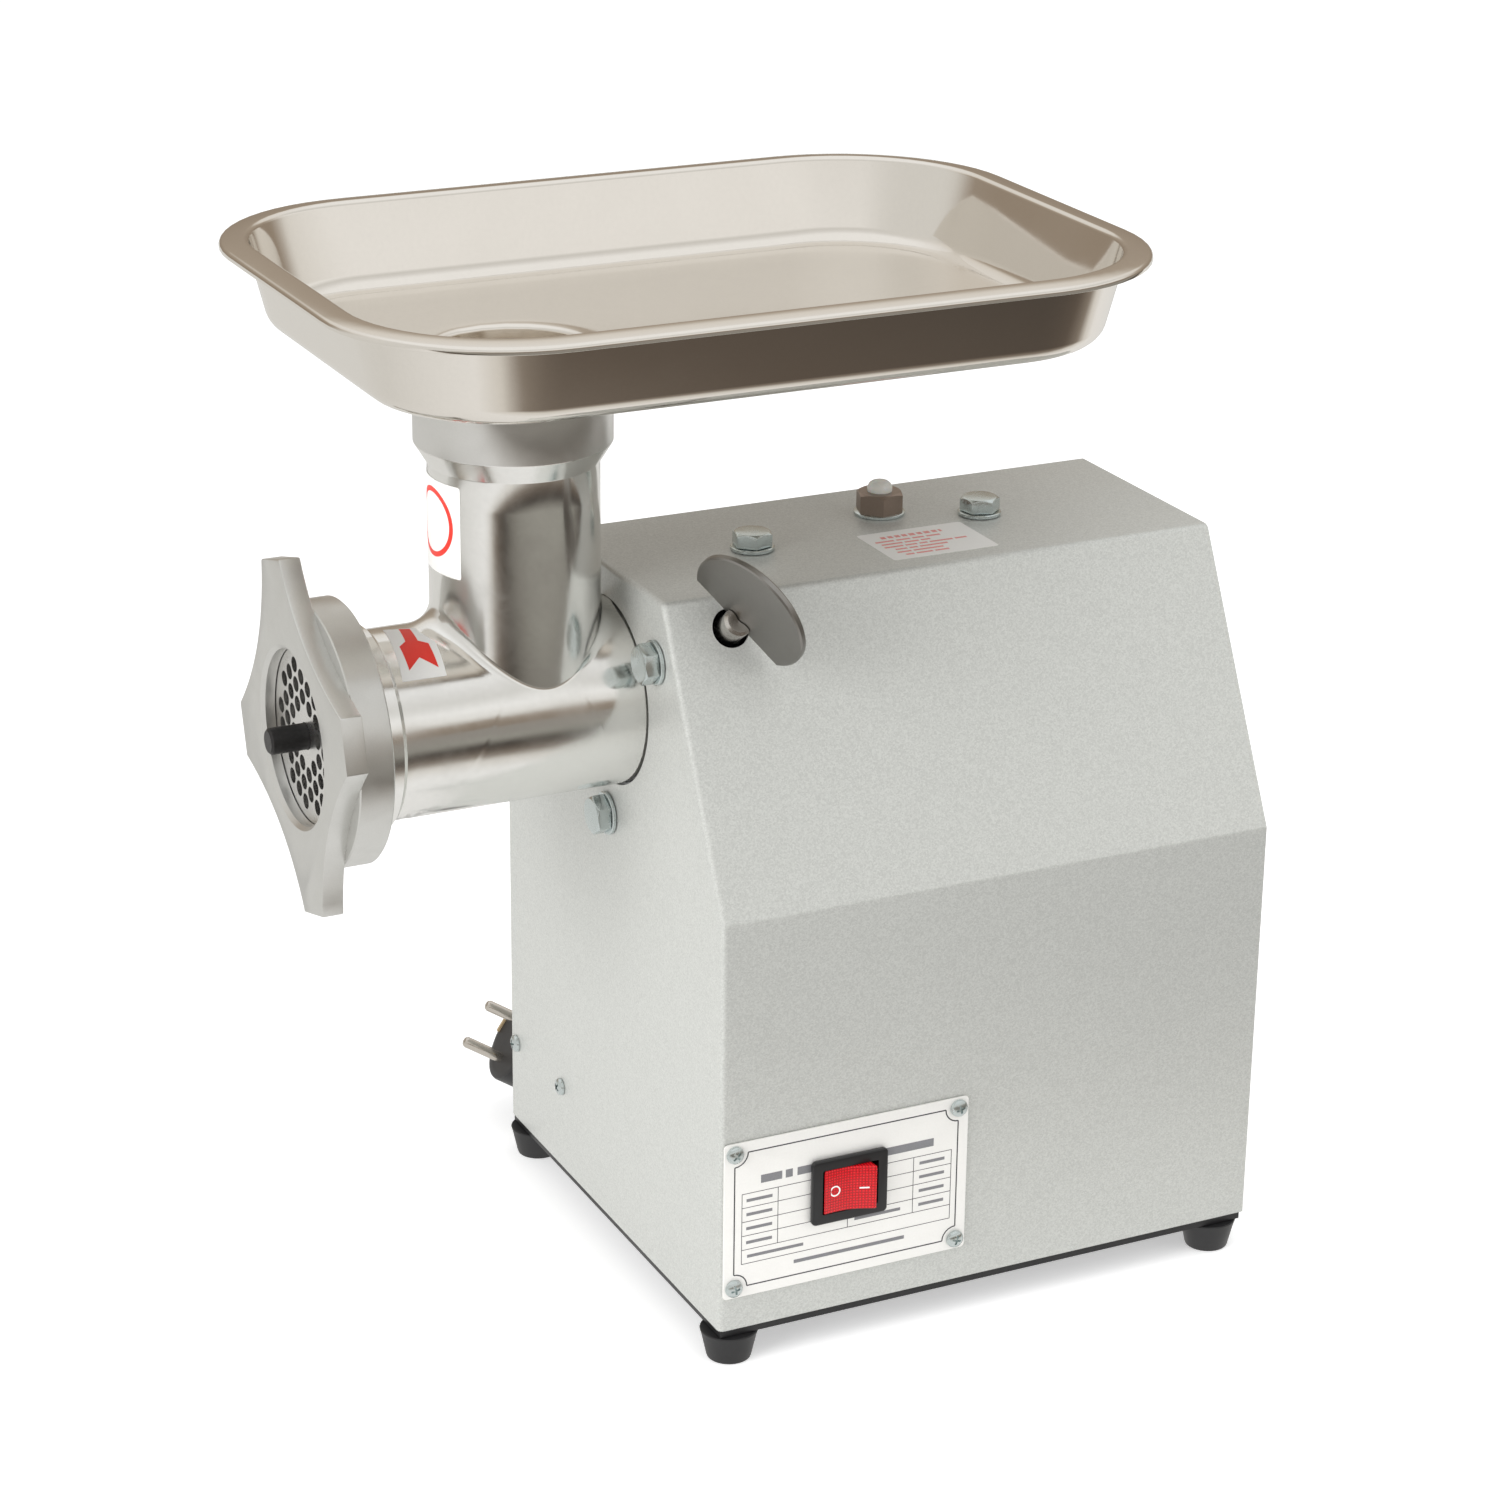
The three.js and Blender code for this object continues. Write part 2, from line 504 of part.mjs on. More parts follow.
/** Phase that puts a tooth of a gear straight down, into a space of the gear below. */
const toothDown = (teeth) => teeth / 2;
const outputGear = () => plate(
  gearOutline(OUTPUT_TEETH, OUTPUT_MODULE, SHAFT_RADIUS + GAP, toothDown(OUTPUT_TEETH)),
  OUTPUT_GEAR_START, OUTPUT_GEAR_START + OUTPUT_FACE_WIDTH, 12);
const inputGear = () => plate(
  gearOutline(INPUT_TEETH, INPUT_MODULE, LAYSHAFT_RADIUS + GAP, toothDown(INPUT_TEETH)),
  INPUT_GEAR_START, INPUT_GEAR_START + INPUT_FACE_WIDTH, 12);
const layshaft = () => join(
  bar(LAYSHAFT_RADIUS, CHAMBER_START + GAP, COVER_END - 2, 24),
  plate(gearOutline(OUTPUT_PINION_TEETH, OUTPUT_MODULE, 0, 0.5),
    OUTPUT_GEAR_START - 1, OUTPUT_GEAR_START + OUTPUT_FACE_WIDTH + 1));
const motorPinion = () => plate(
  gearOutline(INPUT_PINION_TEETH, INPUT_MODULE, ROTOR_SHAFT_RADIUS + GAP, 0.5),
  INPUT_GEAR_START - 1, INPUT_GEAR_START + INPUT_FACE_WIDTH + 1, 12);

/** Output shaft with the square socket that drives the auger. */
const outputShaft = () => cut(
  turned([
    [0, SOCKET_END + 1], [SHAFT_RADIUS, SOCKET_END + 1], [SHAFT_RADIUS, CHAMBER_END - 2],
    [SHAFT_TAIL_RADIUS, CHAMBER_END - 2], [SHAFT_TAIL_RADIUS, COVER_END - 1], [0, COVER_END - 1],
  ]),
  squareBar(TANG_SQUARE + 2 * GAP, SOCKET_END, SOCKET_END + TANG_LENGTH + 3),
);

const bearingStart = SOCKET_END + 6;
const socketRadius = BARREL_RADIUS + GAP;
const tunnelRadius = BARREL_RADIUS + GEARBOX_SOCKET_WALL;

/** Block of the gear chamber, drawn in by `inset` and kept clear of the housing's panels. */
function chamberBlock(x0, x1, inset) {
  const half = CHAMBER_HALF_WIDTH - inset;
  const block = box([x0, -half, CHAMBER_LOW + inset], [x1, half, CHAMBER_HIGH - inset]);
  const room = plate(housingOutline(SHEET + PANEL_CLEARANCE + inset, HOUSING_BOTTOM), x0, x1);
  return moved(block.intersect(room), 0, 0, -AXIS_Z);
}

/** Gear case about the auger's axis: head socket, tunnel and the chamber behind it. */
function gearboxCase() {
  const start = SHEET + GAP;
  const wall = CHAMBER_WALL;
  const underTop = TOP_Z - SHEET - GAP - AXIS_Z;
  const bosses = boltPlaces.map(([y, z]) =>
    moved(bar(FLANGE_BOSS_RADIUS, start, start + FLANGE_BOSS_LENGTH, SMALL_SIDES), 0, y, z));
  const pads = [TOP_BOLT_FRONT, TOP_BOLT_REAR].map(([x, y]) => moved(
    upright(bar(8, underTop - 16, underTop, SMALL_SIDES)), x, y, 0));
  const boltHoles = boltPlaces.map(([y, z]) =>
    moved(bar(BOLT_RADIUS + GAP, 0, start + 20, SMALL_SIDES), 0, y, z));
  const padHoles = topOpenings.map(([[x, y], radius]) =>
    moved(upright(bar(radius + GAP, underTop - 12, underTop + 2, SMALL_SIDES)), x, y, 0));
  return cut(
    join(
      bar(tunnelRadius, start, CHAMBER_START + 1, HEAD_SIDES),
      chamberBlock(CHAMBER_START, CHAMBER_END, 0), ...bosses, ...pads,
    ),
    bar(socketRadius, 0, SOCKET_END, HEAD_SIDES),
    bar(BEARING_RADIUS + GAP, SOCKET_END - 1, bearingStart + BEARING_WIDTH + GAP),
    bar(BEARING_RADIUS - 4, SOCKET_END, CHAMBER_START + wall + 1),
    chamberBlock(CHAMBER_START + wall, CHAMBER_END + 1, wall),
    moved(bar(LAYSHAFT_RADIUS + GAP, CHAMBER_START - 1, CHAMBER_START + wall + 1, 24), 0, 0, -OUTPUT_CENTRES),
    moved(bar(ROTOR_SHAFT_RADIUS + 2, CHAMBER_START - 1, CHAMBER_START + wall + 1, 24), 0, 0, MOTOR_Z - AXIS_Z),
    upright(bar(LOCK_RADIUS + GAP, BARREL_RADIUS - 4, tunnelRadius + 6, 24)).rotate([LOCK_ANGLE, 0, 0])
      .translate([LOCK_SETBACK, 0, 0]),
    ...boltHoles, ...padHoles,
  );
}

/** Rear cover of the gear case, about the auger's axis. */
function gearboxCover() {
  const start = CHAMBER_END + GAP;
  const end = COVER_END;
  return cut(
    chamberBlock(start, end, 0),
    bar(TAIL_BEARING_RADIUS + GAP, start - 1, end + 1),
    moved(bar(LAYSHAFT_RADIUS + GAP, start - 1, end + 1, 24), 0, 0, -OUTPUT_CENTRES),
  );
}

// ---------------------------------------------------------------- motor, about its own axis
const statorInner = ROTOR_RADIUS + AIR_GAP;
const shellInner = MOTOR_RADIUS - MOTOR_SHELL_WALL;
const rotorMiddle = (MOTOR_START + MOTOR_END) / 2 + 6;

const rotor = () => join(
  bar(ROTOR_SHAFT_RADIUS, MOTOR_START - MOTOR_BELL + 1, INPUT_GEAR_START + INPUT_FACE_WIDTH + 2, 24),
  bar(ROTOR_RADIUS, rotorMiddle - ROTOR_LENGTH / 2, rotorMiddle + ROTOR_LENGTH / 2),
);
const stator = () => ring(
  statorInner, shellInner - GAP, rotorMiddle - ROTOR_LENGTH / 2, rotorMiddle + ROTOR_LENGTH / 2);
const motorShell = () => turned([
  [shellInner, MOTOR_END], [shellInner, MOTOR_START], [ROTOR_SHAFT_RADIUS + GAP, MOTOR_START],
  [ROTOR_SHAFT_RADIUS + GAP, MOTOR_START - MOTOR_BELL], [MOTOR_RADIUS, MOTOR_START - MOTOR_BELL],
  [MOTOR_RADIUS, MOTOR_END], [shellInner, MOTOR_END],
]);
const motorEndBell = () => ring(
  ROTOR_SHAFT_RADIUS + GAP, MOTOR_RADIUS, MOTOR_END + GAP, MOTOR_END + GAP + MOTOR_BELL);

function fan() {
  const start = MOTOR_START + 3;
  const blade = box([start, -1, ROTOR_SHAFT_RADIUS + 2], [start + 11, 1, FAN_RADIUS]);
  const blades = Array.from({ length: FAN_BLADES }, (_, i) => blade.rotate([360 * i / FAN_BLADES, 0, 0]));
  return cut(
    join(bar(FAN_RADIUS, start, start + 2), bar(ROTOR_SHAFT_RADIUS + 5, start, start + 12, 24), ...blades),
    bar(ROTOR_SHAFT_RADIUS + GAP, start - 1, start + 14, 24),
  );
}

// ---------------------------------------------------------------- grinding head, about the auger's axis
function grinderHead() {
  const mouth = -BARREL_REACH;
  const collarFoot = COLLAR_TOP_RISE - COLLAR_HEIGHT;
  const body = join(
    bar(BARREL_RADIUS, mouth + THREAD_LENGTH - 1, SPIGOT_DEPTH, HEAD_SIDES),
    bar(THREAD_RADIUS, mouth, mouth + THREAD_LENGTH, HEAD_SIDES),
    moved(upright(turned([
      [0, 0],
      [THROAT_RADIUS, 0],
      [THROAT_RADIUS, collarFoot - COLLAR_CHAMFER],
      [COLLAR_RADIUS, collarFoot],
      [COLLAR_RADIUS, COLLAR_TOP_RISE],
      [0, COLLAR_TOP_RISE],
    ], HEAD_SIDES)), -THROAT_SETBACK, 0, 0),
  );
  const seatFloor = COLLAR_TOP_RISE - SPOUT_LENGTH - 4;
  const seatRadius = COLLAR_RADIUS - COLLAR_SEAT_WALL;
  return join(
    cut(
      body,
      bar(BARREL_BORE, mouth - 1, SPIGOT_DEPTH - HEAD_WALL, HEAD_SIDES),
      bar(PLATE_RADIUS + GAP, mouth - 1, mouth + MOUTH_DEPTH, HEAD_SIDES),
      bar(JOURNAL_RADIUS + GAP, SPIGOT_DEPTH - HEAD_WALL - 1, SPIGOT_DEPTH + 1, 24),
      moved(upright(bar(THROAT_BORE, 0, COLLAR_TOP_RISE + 1, HEAD_SIDES)), -THROAT_SETBACK, 0, 0),
      moved(upright(bar(seatRadius, seatFloor, COLLAR_TOP_RISE + 1, HEAD_SIDES)), -THROAT_SETBACK, 0, 0),
    ),
    box(
      [mouth, -PLATE_KEY_WIDTH / 2, PLATE_RADIUS - 2],
      [PLATE_BACK, PLATE_KEY_WIDTH / 2, THREAD_RADIUS - 2],
    ),
  );
}

/** Perforated plate: rings of round holes on a triangular grid, a centre bore and a key notch. */
function holePlate() {
  const holes = [];
  const rowPitch = PLATE_HOLE_PITCH * Math.sqrt(3) / 2;
  const outermost = PLATE_RADIUS - PLATE_HOLE_RADIUS - PLATE_HOLE_EDGE;
  const innermost = STUD_RADIUS + PLATE_HOLE_RADIUS + 2.5;
  for (let row = -4; row <= 4; row += 1) {
    for (let column = -5; column <= 5; column += 1) {
      const along = (column + (row % 2 === 0 ? 0 : 0.5)) * PLATE_HOLE_PITCH;
      const across = row * rowPitch;
      const distance = Math.hypot(along, across);
      if (distance > innermost && distance < outermost) {
        const hole = moved(bar(PLATE_HOLE_RADIUS, PLATE_FRONT - 1, PLATE_BACK + 1, 6), 0, along, across);
        holes.push(hole.rotate([PLATE_HOLE_TURN, 0, 0]));
      }
    }
  }
  const notchHalf = PLATE_KEY_WIDTH / 2 + GAP;
  return cut(
    bar(PLATE_RADIUS, PLATE_FRONT, PLATE_BACK, HEAD_SIDES),
    bar(STUD_RADIUS + GAP, PLATE_FRONT - 1, PLATE_BACK + 1, SMALL_SIDES),
    box([PLATE_FRONT - 1, -notchHalf, PLATE_RADIUS - 2 - GAP], [PLATE_BACK + 1, notchHalf, PLATE_RADIUS + 1]),
    ...holes,
  );
}

function knife() {
  const front = PLATE_BACK + GAP;
  const half = KNIFE_BLADE_WIDTH / 2;
  const blades = [0, 90, 180, 270].map((angle) =>
    box([front, -half, 0], [KNIFE_BACK, half, KNIFE_REACH]).rotate([angle, 0, 0]));
  return cut(
    join(bar(KNIFE_SQUARE / 2 + 8, front, KNIFE_BACK), ...blades),
    squareBar(KNIFE_SQUARE + 2 * GAP, front - 1, KNIFE_BACK + 1),
  );
}

/** Closed skin through equal loops of points, capped flat at both ends by a fan. */
function loft(loops) {
  const count = loops[0].length;
  const positions = loops.flat(2);
  const index = [];
  for (let level = 0; level + 1 < loops.length; level += 1) {
    for (let i = 0; i < count; i += 1) {
      const next = (i + 1) % count;
      const [a, b] = [level * count + i, level * count + next];
      index.push(a, b, b + count, a, b + count, a + count);
    }
  }
  const last = (loops.length - 1) * count;
  for (let i = 1; i + 1 < count; i += 1) {
    index.push(0, i + 1, i, last, last + i, last + i + 1);
  }
  const geometry = new THREE.BufferGeometry();
  geometry.setAttribute("position", new THREE.Float32BufferAttribute(positions, 3));
  geometry.setIndex(index);
  return solid(geometry);
}

/** Screw flight about X: a four-cornered section carried along a helix. */
function flight(x0, x1, inner, outer) {
  const turns = (x1 - x0 - AUGER_FLIGHT_THICKNESS) / AUGER_PITCH;
  const steps = Math.round(turns * 16);
  const root = AUGER_FLIGHT_THICKNESS / 2;
  const tip = AUGER_FLIGHT_THICKNESS / 4;
  const loops = [];
  for (let step = 0; step <= steps; step += 1) {
    const angle = 2 * Math.PI * turns * step / steps;
    const x = x0 + root + AUGER_PITCH * turns * step / steps;
    const corner = (radius, along) => [x + along, radius * Math.sin(angle), radius * Math.cos(angle)];
    loops.push([corner(inner, -root), corner(outer, -tip), corner(outer, tip), corner(inner, root)]);
  }
  return loft(loops);
}

function auger() {
  const front = KNIFE_BACK + GAP;
  const back = SPIGOT_DEPTH - HEAD_WALL - 1;
  return join(
    bar(AUGER_CORE_RADIUS, front, back + 1, 24),
    flight(front + 1, back - 1, AUGER_CORE_RADIUS - 2, BARREL_BORE - AUGER_CLEARANCE),
    bar(JOURNAL_RADIUS, back, SPIGOT_DEPTH + GAP, 24),
    squareBar(TANG_SQUARE, SPIGOT_DEPTH, SPIGOT_DEPTH + TANG_LENGTH),
    squareBar(KNIFE_SQUARE, PLATE_BACK + 2 * GAP, front + 1),
    turned([
      [0, STUD_END], [STUD_RADIUS - 0.8, STUD_END], [STUD_RADIUS, STUD_END + 0.8],
      [STUD_RADIUS, PLATE_BACK + 1], [0, PLATE_BACK + 1],
    ], SMALL_SIDES),
  );
}

/** Outline of the nut's wing plate: a long and a short pair of wings with flat tips. */
function wingOutline() {
  const tip = NUT_TIP_WIDTH / 2;
  const waist = NUT_OPENING * 0.6;
  const long = NUT_SKIRT_RADIUS + NUT_LONG_WING;
  const short = NUT_SKIRT_RADIUS + NUT_SHORT_WING;
  const shape = new THREE.Shape();
  shape.moveTo(tip, long);
  shape.quadraticCurveTo(waist, waist * 1.6, short, tip);
  shape.lineTo(short, -tip);
  shape.quadraticCurveTo(waist, -waist * 1.6, tip, -long);
  shape.lineTo(-tip, -long);
  shape.quadraticCurveTo(-waist, -waist * 1.6, -short, -tip);
  shape.lineTo(-short, tip);
  shape.quadraticCurveTo(-waist, waist * 1.6, -tip, long);
  return shape;
}

function ringNut() {
  const plateBack = NUT_FRONT + NUT_PLATE_THICKNESS;
  return cut(
    join(
      plate(wingOutline(), NUT_FRONT, plateBack, 10),
      bar(NUT_SKIRT_RADIUS, plateBack - 2, NUT_BACK, HEAD_SIDES),
    ),
    bar(NUT_OPENING, NUT_FRONT - 1, NUT_FRONT + NUT_LIP + 1, HEAD_SIDES),
    bar(THREAD_RADIUS + 2 * GAP, NUT_FRONT + NUT_LIP, NUT_BACK + 1, HEAD_SIDES),
  );
}

// ---------------------------------------------------------------- feed tray, about the throat's axis
/** Rounded rectangle of the tray, drawn in by `inset`, at height z. */
function trayLoop(inset, z) {
  const halfLength = TRAY_LENGTH / 2 - inset;
  const halfWidth = TRAY_WIDTH / 2 - inset;
  const radius = TRAY_CORNER - inset;
  const steps = 5;
  const points = [];
  for (const [sideX, sideY, start] of [[1, 1, 0], [-1, 1, 90], [-1, -1, 180], [1, -1, 270]]) {
    for (let i = 0; i <= steps; i += 1) {
      const angle = degrees(start + 90 * i / steps);
      points.push([
        sideX * (halfLength - radius) + radius * Math.cos(angle),
        sideY * (halfWidth - radius) + radius * Math.sin(angle), z,
      ]);
    }
  }
  return points;
}

/** Insets and heights of one wall face, from the flat bottom up to the rim, by a rounded corner. */
function wallSection(offset, bottomZ, topZ) {
  const lean = Math.atan2(TRAY_TAPER, TRAY_DEPTH);
  const radius = TRAY_FILLET;
  const foot = TRAY_RIM + TRAY_TAPER + offset;
  const points = [];
  for (let i = 0; i <= 2; i += 1) {
    const angle = (Math.PI / 2 - lean) * i / 2;
    points.push([foot + radius - radius * Math.sin(angle), bottomZ + radius - radius * Math.cos(angle)]);
  }
  points.push([TRAY_RIM + offset, topZ]);
  return points;
}

function tray() {
  const rimTop = TRAY_DEPTH;
  const outside = wallSection(0, 0, rimTop - TRAY_SHEET);
  const lip = [
    [TRAY_SHEET, rimTop - TRAY_SHEET],
    [TRAY_SHEET, rimTop - TRAY_LIP],
    [0, rimTop - TRAY_LIP],
    [0, rimTop],
  ];
  const inside = wallSection(TRAY_SHEET, TRAY_SHEET, rimTop).reverse();
  const loops = [...outside, ...lip, ...inside].map(([inset, z]) => trayLoop(inset, z));
  const pan = moved(loft(loops), TRAY_OFFSET, 0, 0);
  const spoutRadius = COLLAR_RADIUS - COLLAR_SEAT_WALL - GAP;
  return cut(
    join(pan, upright(bar(spoutRadius, -SPOUT_LENGTH, TRAY_SHEET / 2, HEAD_SIDES))),
    upright(bar(spoutRadius - SPOUT_WALL, -SPOUT_LENGTH - 1, TRAY_SHEET + 1, HEAD_SIDES)),
  );
}

// ---------------------------------------------------------------- lock screw, +Z outwards along the screw
const lockFlatStart = LOCK_REACH + LOCK_DISC_RISE - LOCK_DISC_CHORD;

/** Screw with a conical point on the barrel and a flat at its outer end for the disc. */
function lockRod() {
  const point = BARREL_RADIUS + GAP;
  return cut(
    upright(turned([
      [0, point], [LOCK_RADIUS - 2, point], [LOCK_RADIUS, point + 2], [LOCK_RADIUS, LOCK_REACH - 1],
      [LOCK_RADIUS - 1, LOCK_REACH], [0, LOCK_REACH],
    ], 24)),
    box([GAP, -10, lockFlatStart - GAP], [10, 10, LOCK_REACH + 1]).rotate([0, 0, LOCK_DISC_TURN + 90]),
  );
}

/** Turning disc, cut straight where it is welded to the screw. */
function lockDisc() {
  const centre = LOCK_REACH + LOCK_DISC_RISE;
  const disc = moved(bar(LOCK_DISC_RADIUS, 2 * GAP, 2 * GAP + LOCK_DISC_THICKNESS, 36), 0, 0, centre);
  const below = box([-5, -40, centre - 40], [10, 40, lockFlatStart]);
  return cut(disc, below).rotate([0, 0, LOCK_DISC_TURN + 90]);
}

// ---------------------------------------------------------------- switch and nameplate
/** Frame and body of the switch, open at the front for the rocker. */
function switchBody() {
  const [halfLength, halfHeight] = switchBodyHalf;
  const face = -NAMEPLATE_THICKNESS - 2 * GAP;
  const pocket = [SWITCH_LENGTH / 2 - SWITCH_FRAME, SWITCH_HEIGHT / 2 - SWITCH_FRAME];
  return cut(
    join(
      box(
        [-SWITCH_LENGTH / 2, face - SWITCH_PROUD, -SWITCH_HEIGHT / 2],
        [SWITCH_LENGTH / 2, face, SWITCH_HEIGHT / 2],
      ),
      box([-halfLength, face - 1, -halfHeight], [halfLength, face + SWITCH_DEPTH, halfHeight]),
    ),
    box([-pocket[0], face - SWITCH_PROUD - 1, -pocket[1]], [pocket[0], face + SWITCH_DEPTH - 6, pocket[1]]),
  );
}

/** Rocker about its own pivot: two faces that meet at a shallow angle, tilted so its -X side is in. */
function rocker() {
  const halfLength = SWITCH_LENGTH / 2 - SWITCH_FRAME - 1.5;
  const halfHeight = SWITCH_HEIGHT / 2 - SWITCH_FRAME - GAP;
  const faceDepth = ROCKER_PIVOT_DEPTH + ROCKER_STAND;
  const drop = halfLength * Math.tan(degrees(ROCKER_TILT));
  const outline = new THREE.Shape([
    [-halfLength, -faceDepth - drop], [0, -faceDepth], [halfLength, -faceDepth - drop],
    [halfLength * 0.72, 6], [-halfLength * 0.72, 6],
  ].map(([x, y]) => new THREE.Vector2(x, y)));
  const geometry = new THREE.ExtrudeGeometry(outline, { depth: 2 * halfHeight, bevelEnabled: false });
  return solid(geometry.translate(0, 0, -halfHeight)).rotate([0, 0, -ROCKER_TILT]);
}

function nameplate() {
  const holes = nameplateScrews.map(([x, z]) =>
    moved(towardsSwitchSide(bar(SCREW_RADIUS + GAP, -2, 3, SMALL_SIDES)), x, -SIDE_Y, z));
  return cut(
    box(
      [NAMEPLATE_INSET, -SIDE_Y - GAP - NAMEPLATE_THICKNESS, nameplateLow],
      [NAMEPLATE_INSET + NAMEPLATE_LENGTH, -SIDE_Y - GAP, nameplateLow + NAMEPLATE_HEIGHT],
    ),
    ...holes, switchCut(),
  );
}

// ---------------------------------------------------------------- power cord
/** Round cord along a smooth curve through points chosen by hand. */
function cordRun(points, steps) {
  const stations = points.map((point) => new THREE.Vector3(...point));
  const path = new THREE.CatmullRomCurve3(stations, false, "centripetal");
  const section = new THREE.Shape();
  section.absarc(0, 0, CORD_RADIUS, 0, 2 * Math.PI, false);
  const sweep = { steps, extrudePath: path, curveSegments: 5, bevelEnabled: false };
  return solid(new THREE.ExtrudeGeometry(section, sweep));
}

const leadRoute = [
  [GLAND_END, GLAND_SIDE, GLAND_Z], [GLAND_END + 10, GLAND_SIDE, GLAND_Z - 0.6],
  [GLAND_END + 22, GLAND_SIDE + 1, GLAND_Z - 6], [GLAND_END + 33, GLAND_SIDE + 3, GLAND_Z - 17],
  [GLAND_END + 42, GLAND_SIDE + 8, 17], [GLAND_END + 50, GLAND_SIDE + 16, 8.5],
  [GLAND_END + 55, GLAND_SIDE + 28, 4.6], [GLAND_END + 56, GLAND_SIDE + 44, 4],
  [GLAND_END + 50, GLAND_SIDE + 66, 4], [GLAND_END + 36, GLAND_SIDE + 90, 4],
  [292, 172, 4], [270, 192, 4], [244, 207, 4], [218, 215, 4], [193, 213, 4], [172, 202, 4],
  [161, 190, 4], [157.8, 183.5, 4],
];
const tailRoute = [
  [86, 118.4, 7.6], [77.4, 119.7, 5.1], [68, 123, 4.3], [60.4, 125.8, 5.6], [54.2, 127.8, 8.4], PLUG_TAIL,
];

/** Moulded mains plug, along +X from the cord to the pins. */
function plug() {
  const pin = turned([
    [0, PLUG_LENGTH - 1], [PIN_RADIUS, PLUG_LENGTH - 1], [PIN_RADIUS, PLUG_LENGTH + PIN_LENGTH - 1],
    [PIN_RADIUS - 1, PLUG_LENGTH + PIN_LENGTH], [0, PLUG_LENGTH + PIN_LENGTH],
  ], SMALL_SIDES);
  const contact = box([PLUG_LENGTH - 16, PLUG_FACE_RADIUS - 3, -4], [PLUG_LENGTH + 1, PLUG_FACE_RADIUS - 1.4, 4]);
  return join(
    turned([
      [0, 0], [5, 0], [6, 10], [11, 17], [PLUG_FACE_RADIUS - 2, 24], [PLUG_FACE_RADIUS, 30],
      [PLUG_FACE_RADIUS, PLUG_LENGTH], [0, PLUG_LENGTH],
    ], 20),
    moved(pin, 0, 0, PIN_SPACING / 2), moved(pin, 0, 0, -PIN_SPACING / 2), contact,
  );
}

const gland = () => cut(
  turned([
    [0, 0], [GLAND_RADIUS, 0], [GLAND_RADIUS, GLAND_FLANGE], [CORD_RADIUS + 3, GLAND_FLANGE + 1],
    [CORD_RADIUS + 1.2, GLAND_FLANGE + GLAND_TAPER], [0, GLAND_FLANGE + GLAND_TAPER],
  ], 24),
  bar(CORD_RADIUS - 1, GLAND_FLANGE + GLAND_TAPER - 3, GLAND_FLANGE + GLAND_TAPER + 1, SMALL_SIDES),
);

// ---------------------------------------------------------------- assembly
const group = new THREE.Group();
const frontReach = Math.min(STUD_END, -THROAT_SETBACK + TRAY_OFFSET - TRAY_LENGTH / 2);
const rearReach = HOUSING_LENGTH + GAP + SCREW_HEAD;
const machine = addGroup(group, [-(frontReach + rearReach) / 2, 0, 0]);
const drive = addGroup(machine, [0, 0, AXIS_Z]);
const motor = addGroup(machine, [0, 0, MOTOR_Z]);

addPiece(machine, "housing_shell", housingShell(), PAINT);
addPiece(machine, "rear_cover", rearCover(), PAINT);
addPiece(machine, "base_plate", basePlate(), BLACK_STEEL);
for (const [name, x, y] of footPlaces) addPiece(machine, name, foot(), RUBBER, [x, y, 0]);

addPiece(drive, "gearbox_case", gearboxCase(), CAST_CASE);
addPiece(drive, "gearbox_cover", gearboxCover(), CAST_CASE);
addPiece(drive, "output_shaft", outputShaft(), STEEL);
addPiece(drive, "output_gear", outputGear(), STEEL);
addPiece(drive, "output_bearing_front",
  ring(SHAFT_RADIUS + GAP, BEARING_RADIUS, bearingStart, bearingStart + BEARING_WIDTH), STEEL);
addPiece(drive, "output_bearing_rear",
  ring(SHAFT_TAIL_RADIUS + GAP, TAIL_BEARING_RADIUS, CHAMBER_END + GAP, COVER_END), STEEL);
addPiece(drive, "layshaft_pinion", layshaft(), STEEL, [0, 0, -OUTPUT_CENTRES]);
addPiece(drive, "layshaft_gear", inputGear(), STEEL, [0, 0, -OUTPUT_CENTRES]);

addPiece(motor, "motor_rotor", rotor(), STEEL);
addPiece(motor, "motor_pinion", motorPinion(), STEEL);
addPiece(motor, "motor_fan", fan(), PLASTIC);
addPiece(motor, "motor_stator", stator(), WINDING);
addPiece(motor, "motor_shell", motorShell(), CAST_CASE);
addPiece(motor, "motor_end_bell", motorEndBell(), CAST_CASE);
addPiece(machine, "run_capacitor", bar(CAPACITOR_RADIUS, 0, CAPACITOR_LENGTH), PLASTIC,
  [HOUSING_LENGTH - 30 - CAPACITOR_LENGTH, SIDE_Y - 44, BASE_TOP + GAP + CAPACITOR_RADIUS]);

boltPlaces.forEach(([y, z], i) => {
  addPiece(drive, `flange_bolt_${i + 1}`, hexBolt(FLANGE_BOLT_LENGTH), ZINC, [-GAP * 2 - WASHER_THICKNESS, y, z]);
  addPiece(drive, `flange_washer_${i + 1}`, washer(), ZINC, [-GAP - WASHER_THICKNESS, y, z]);
});
[["front", TOP_BOLT_FRONT], ["rear", TOP_BOLT_REAR]].forEach(([name, [x, y]]) => {
  const place = [x, y, TOP_Z + 2 * GAP + WASHER_THICKNESS];
  addPiece(machine, `top_bolt_${name}`, hexBolt(TOP_BOLT_LENGTH).rotate([0, 90, 0]), ZINC, place);
  addPiece(machine, `top_washer_${name}`, washer().rotate([0, 90, 0]), ZINC, [x, y, place[2] - GAP]);
});
addPiece(machine, "vent_plug", upright(join(
  hexBar(VENT_FLATS, 0, VENT_HEIGHT), bar(VENT_STEM_RADIUS, -10, 1, SMALL_SIDES),
)), BRONZE, [VENT_PLACE[0], VENT_PLACE[1], TOP_Z + GAP]);
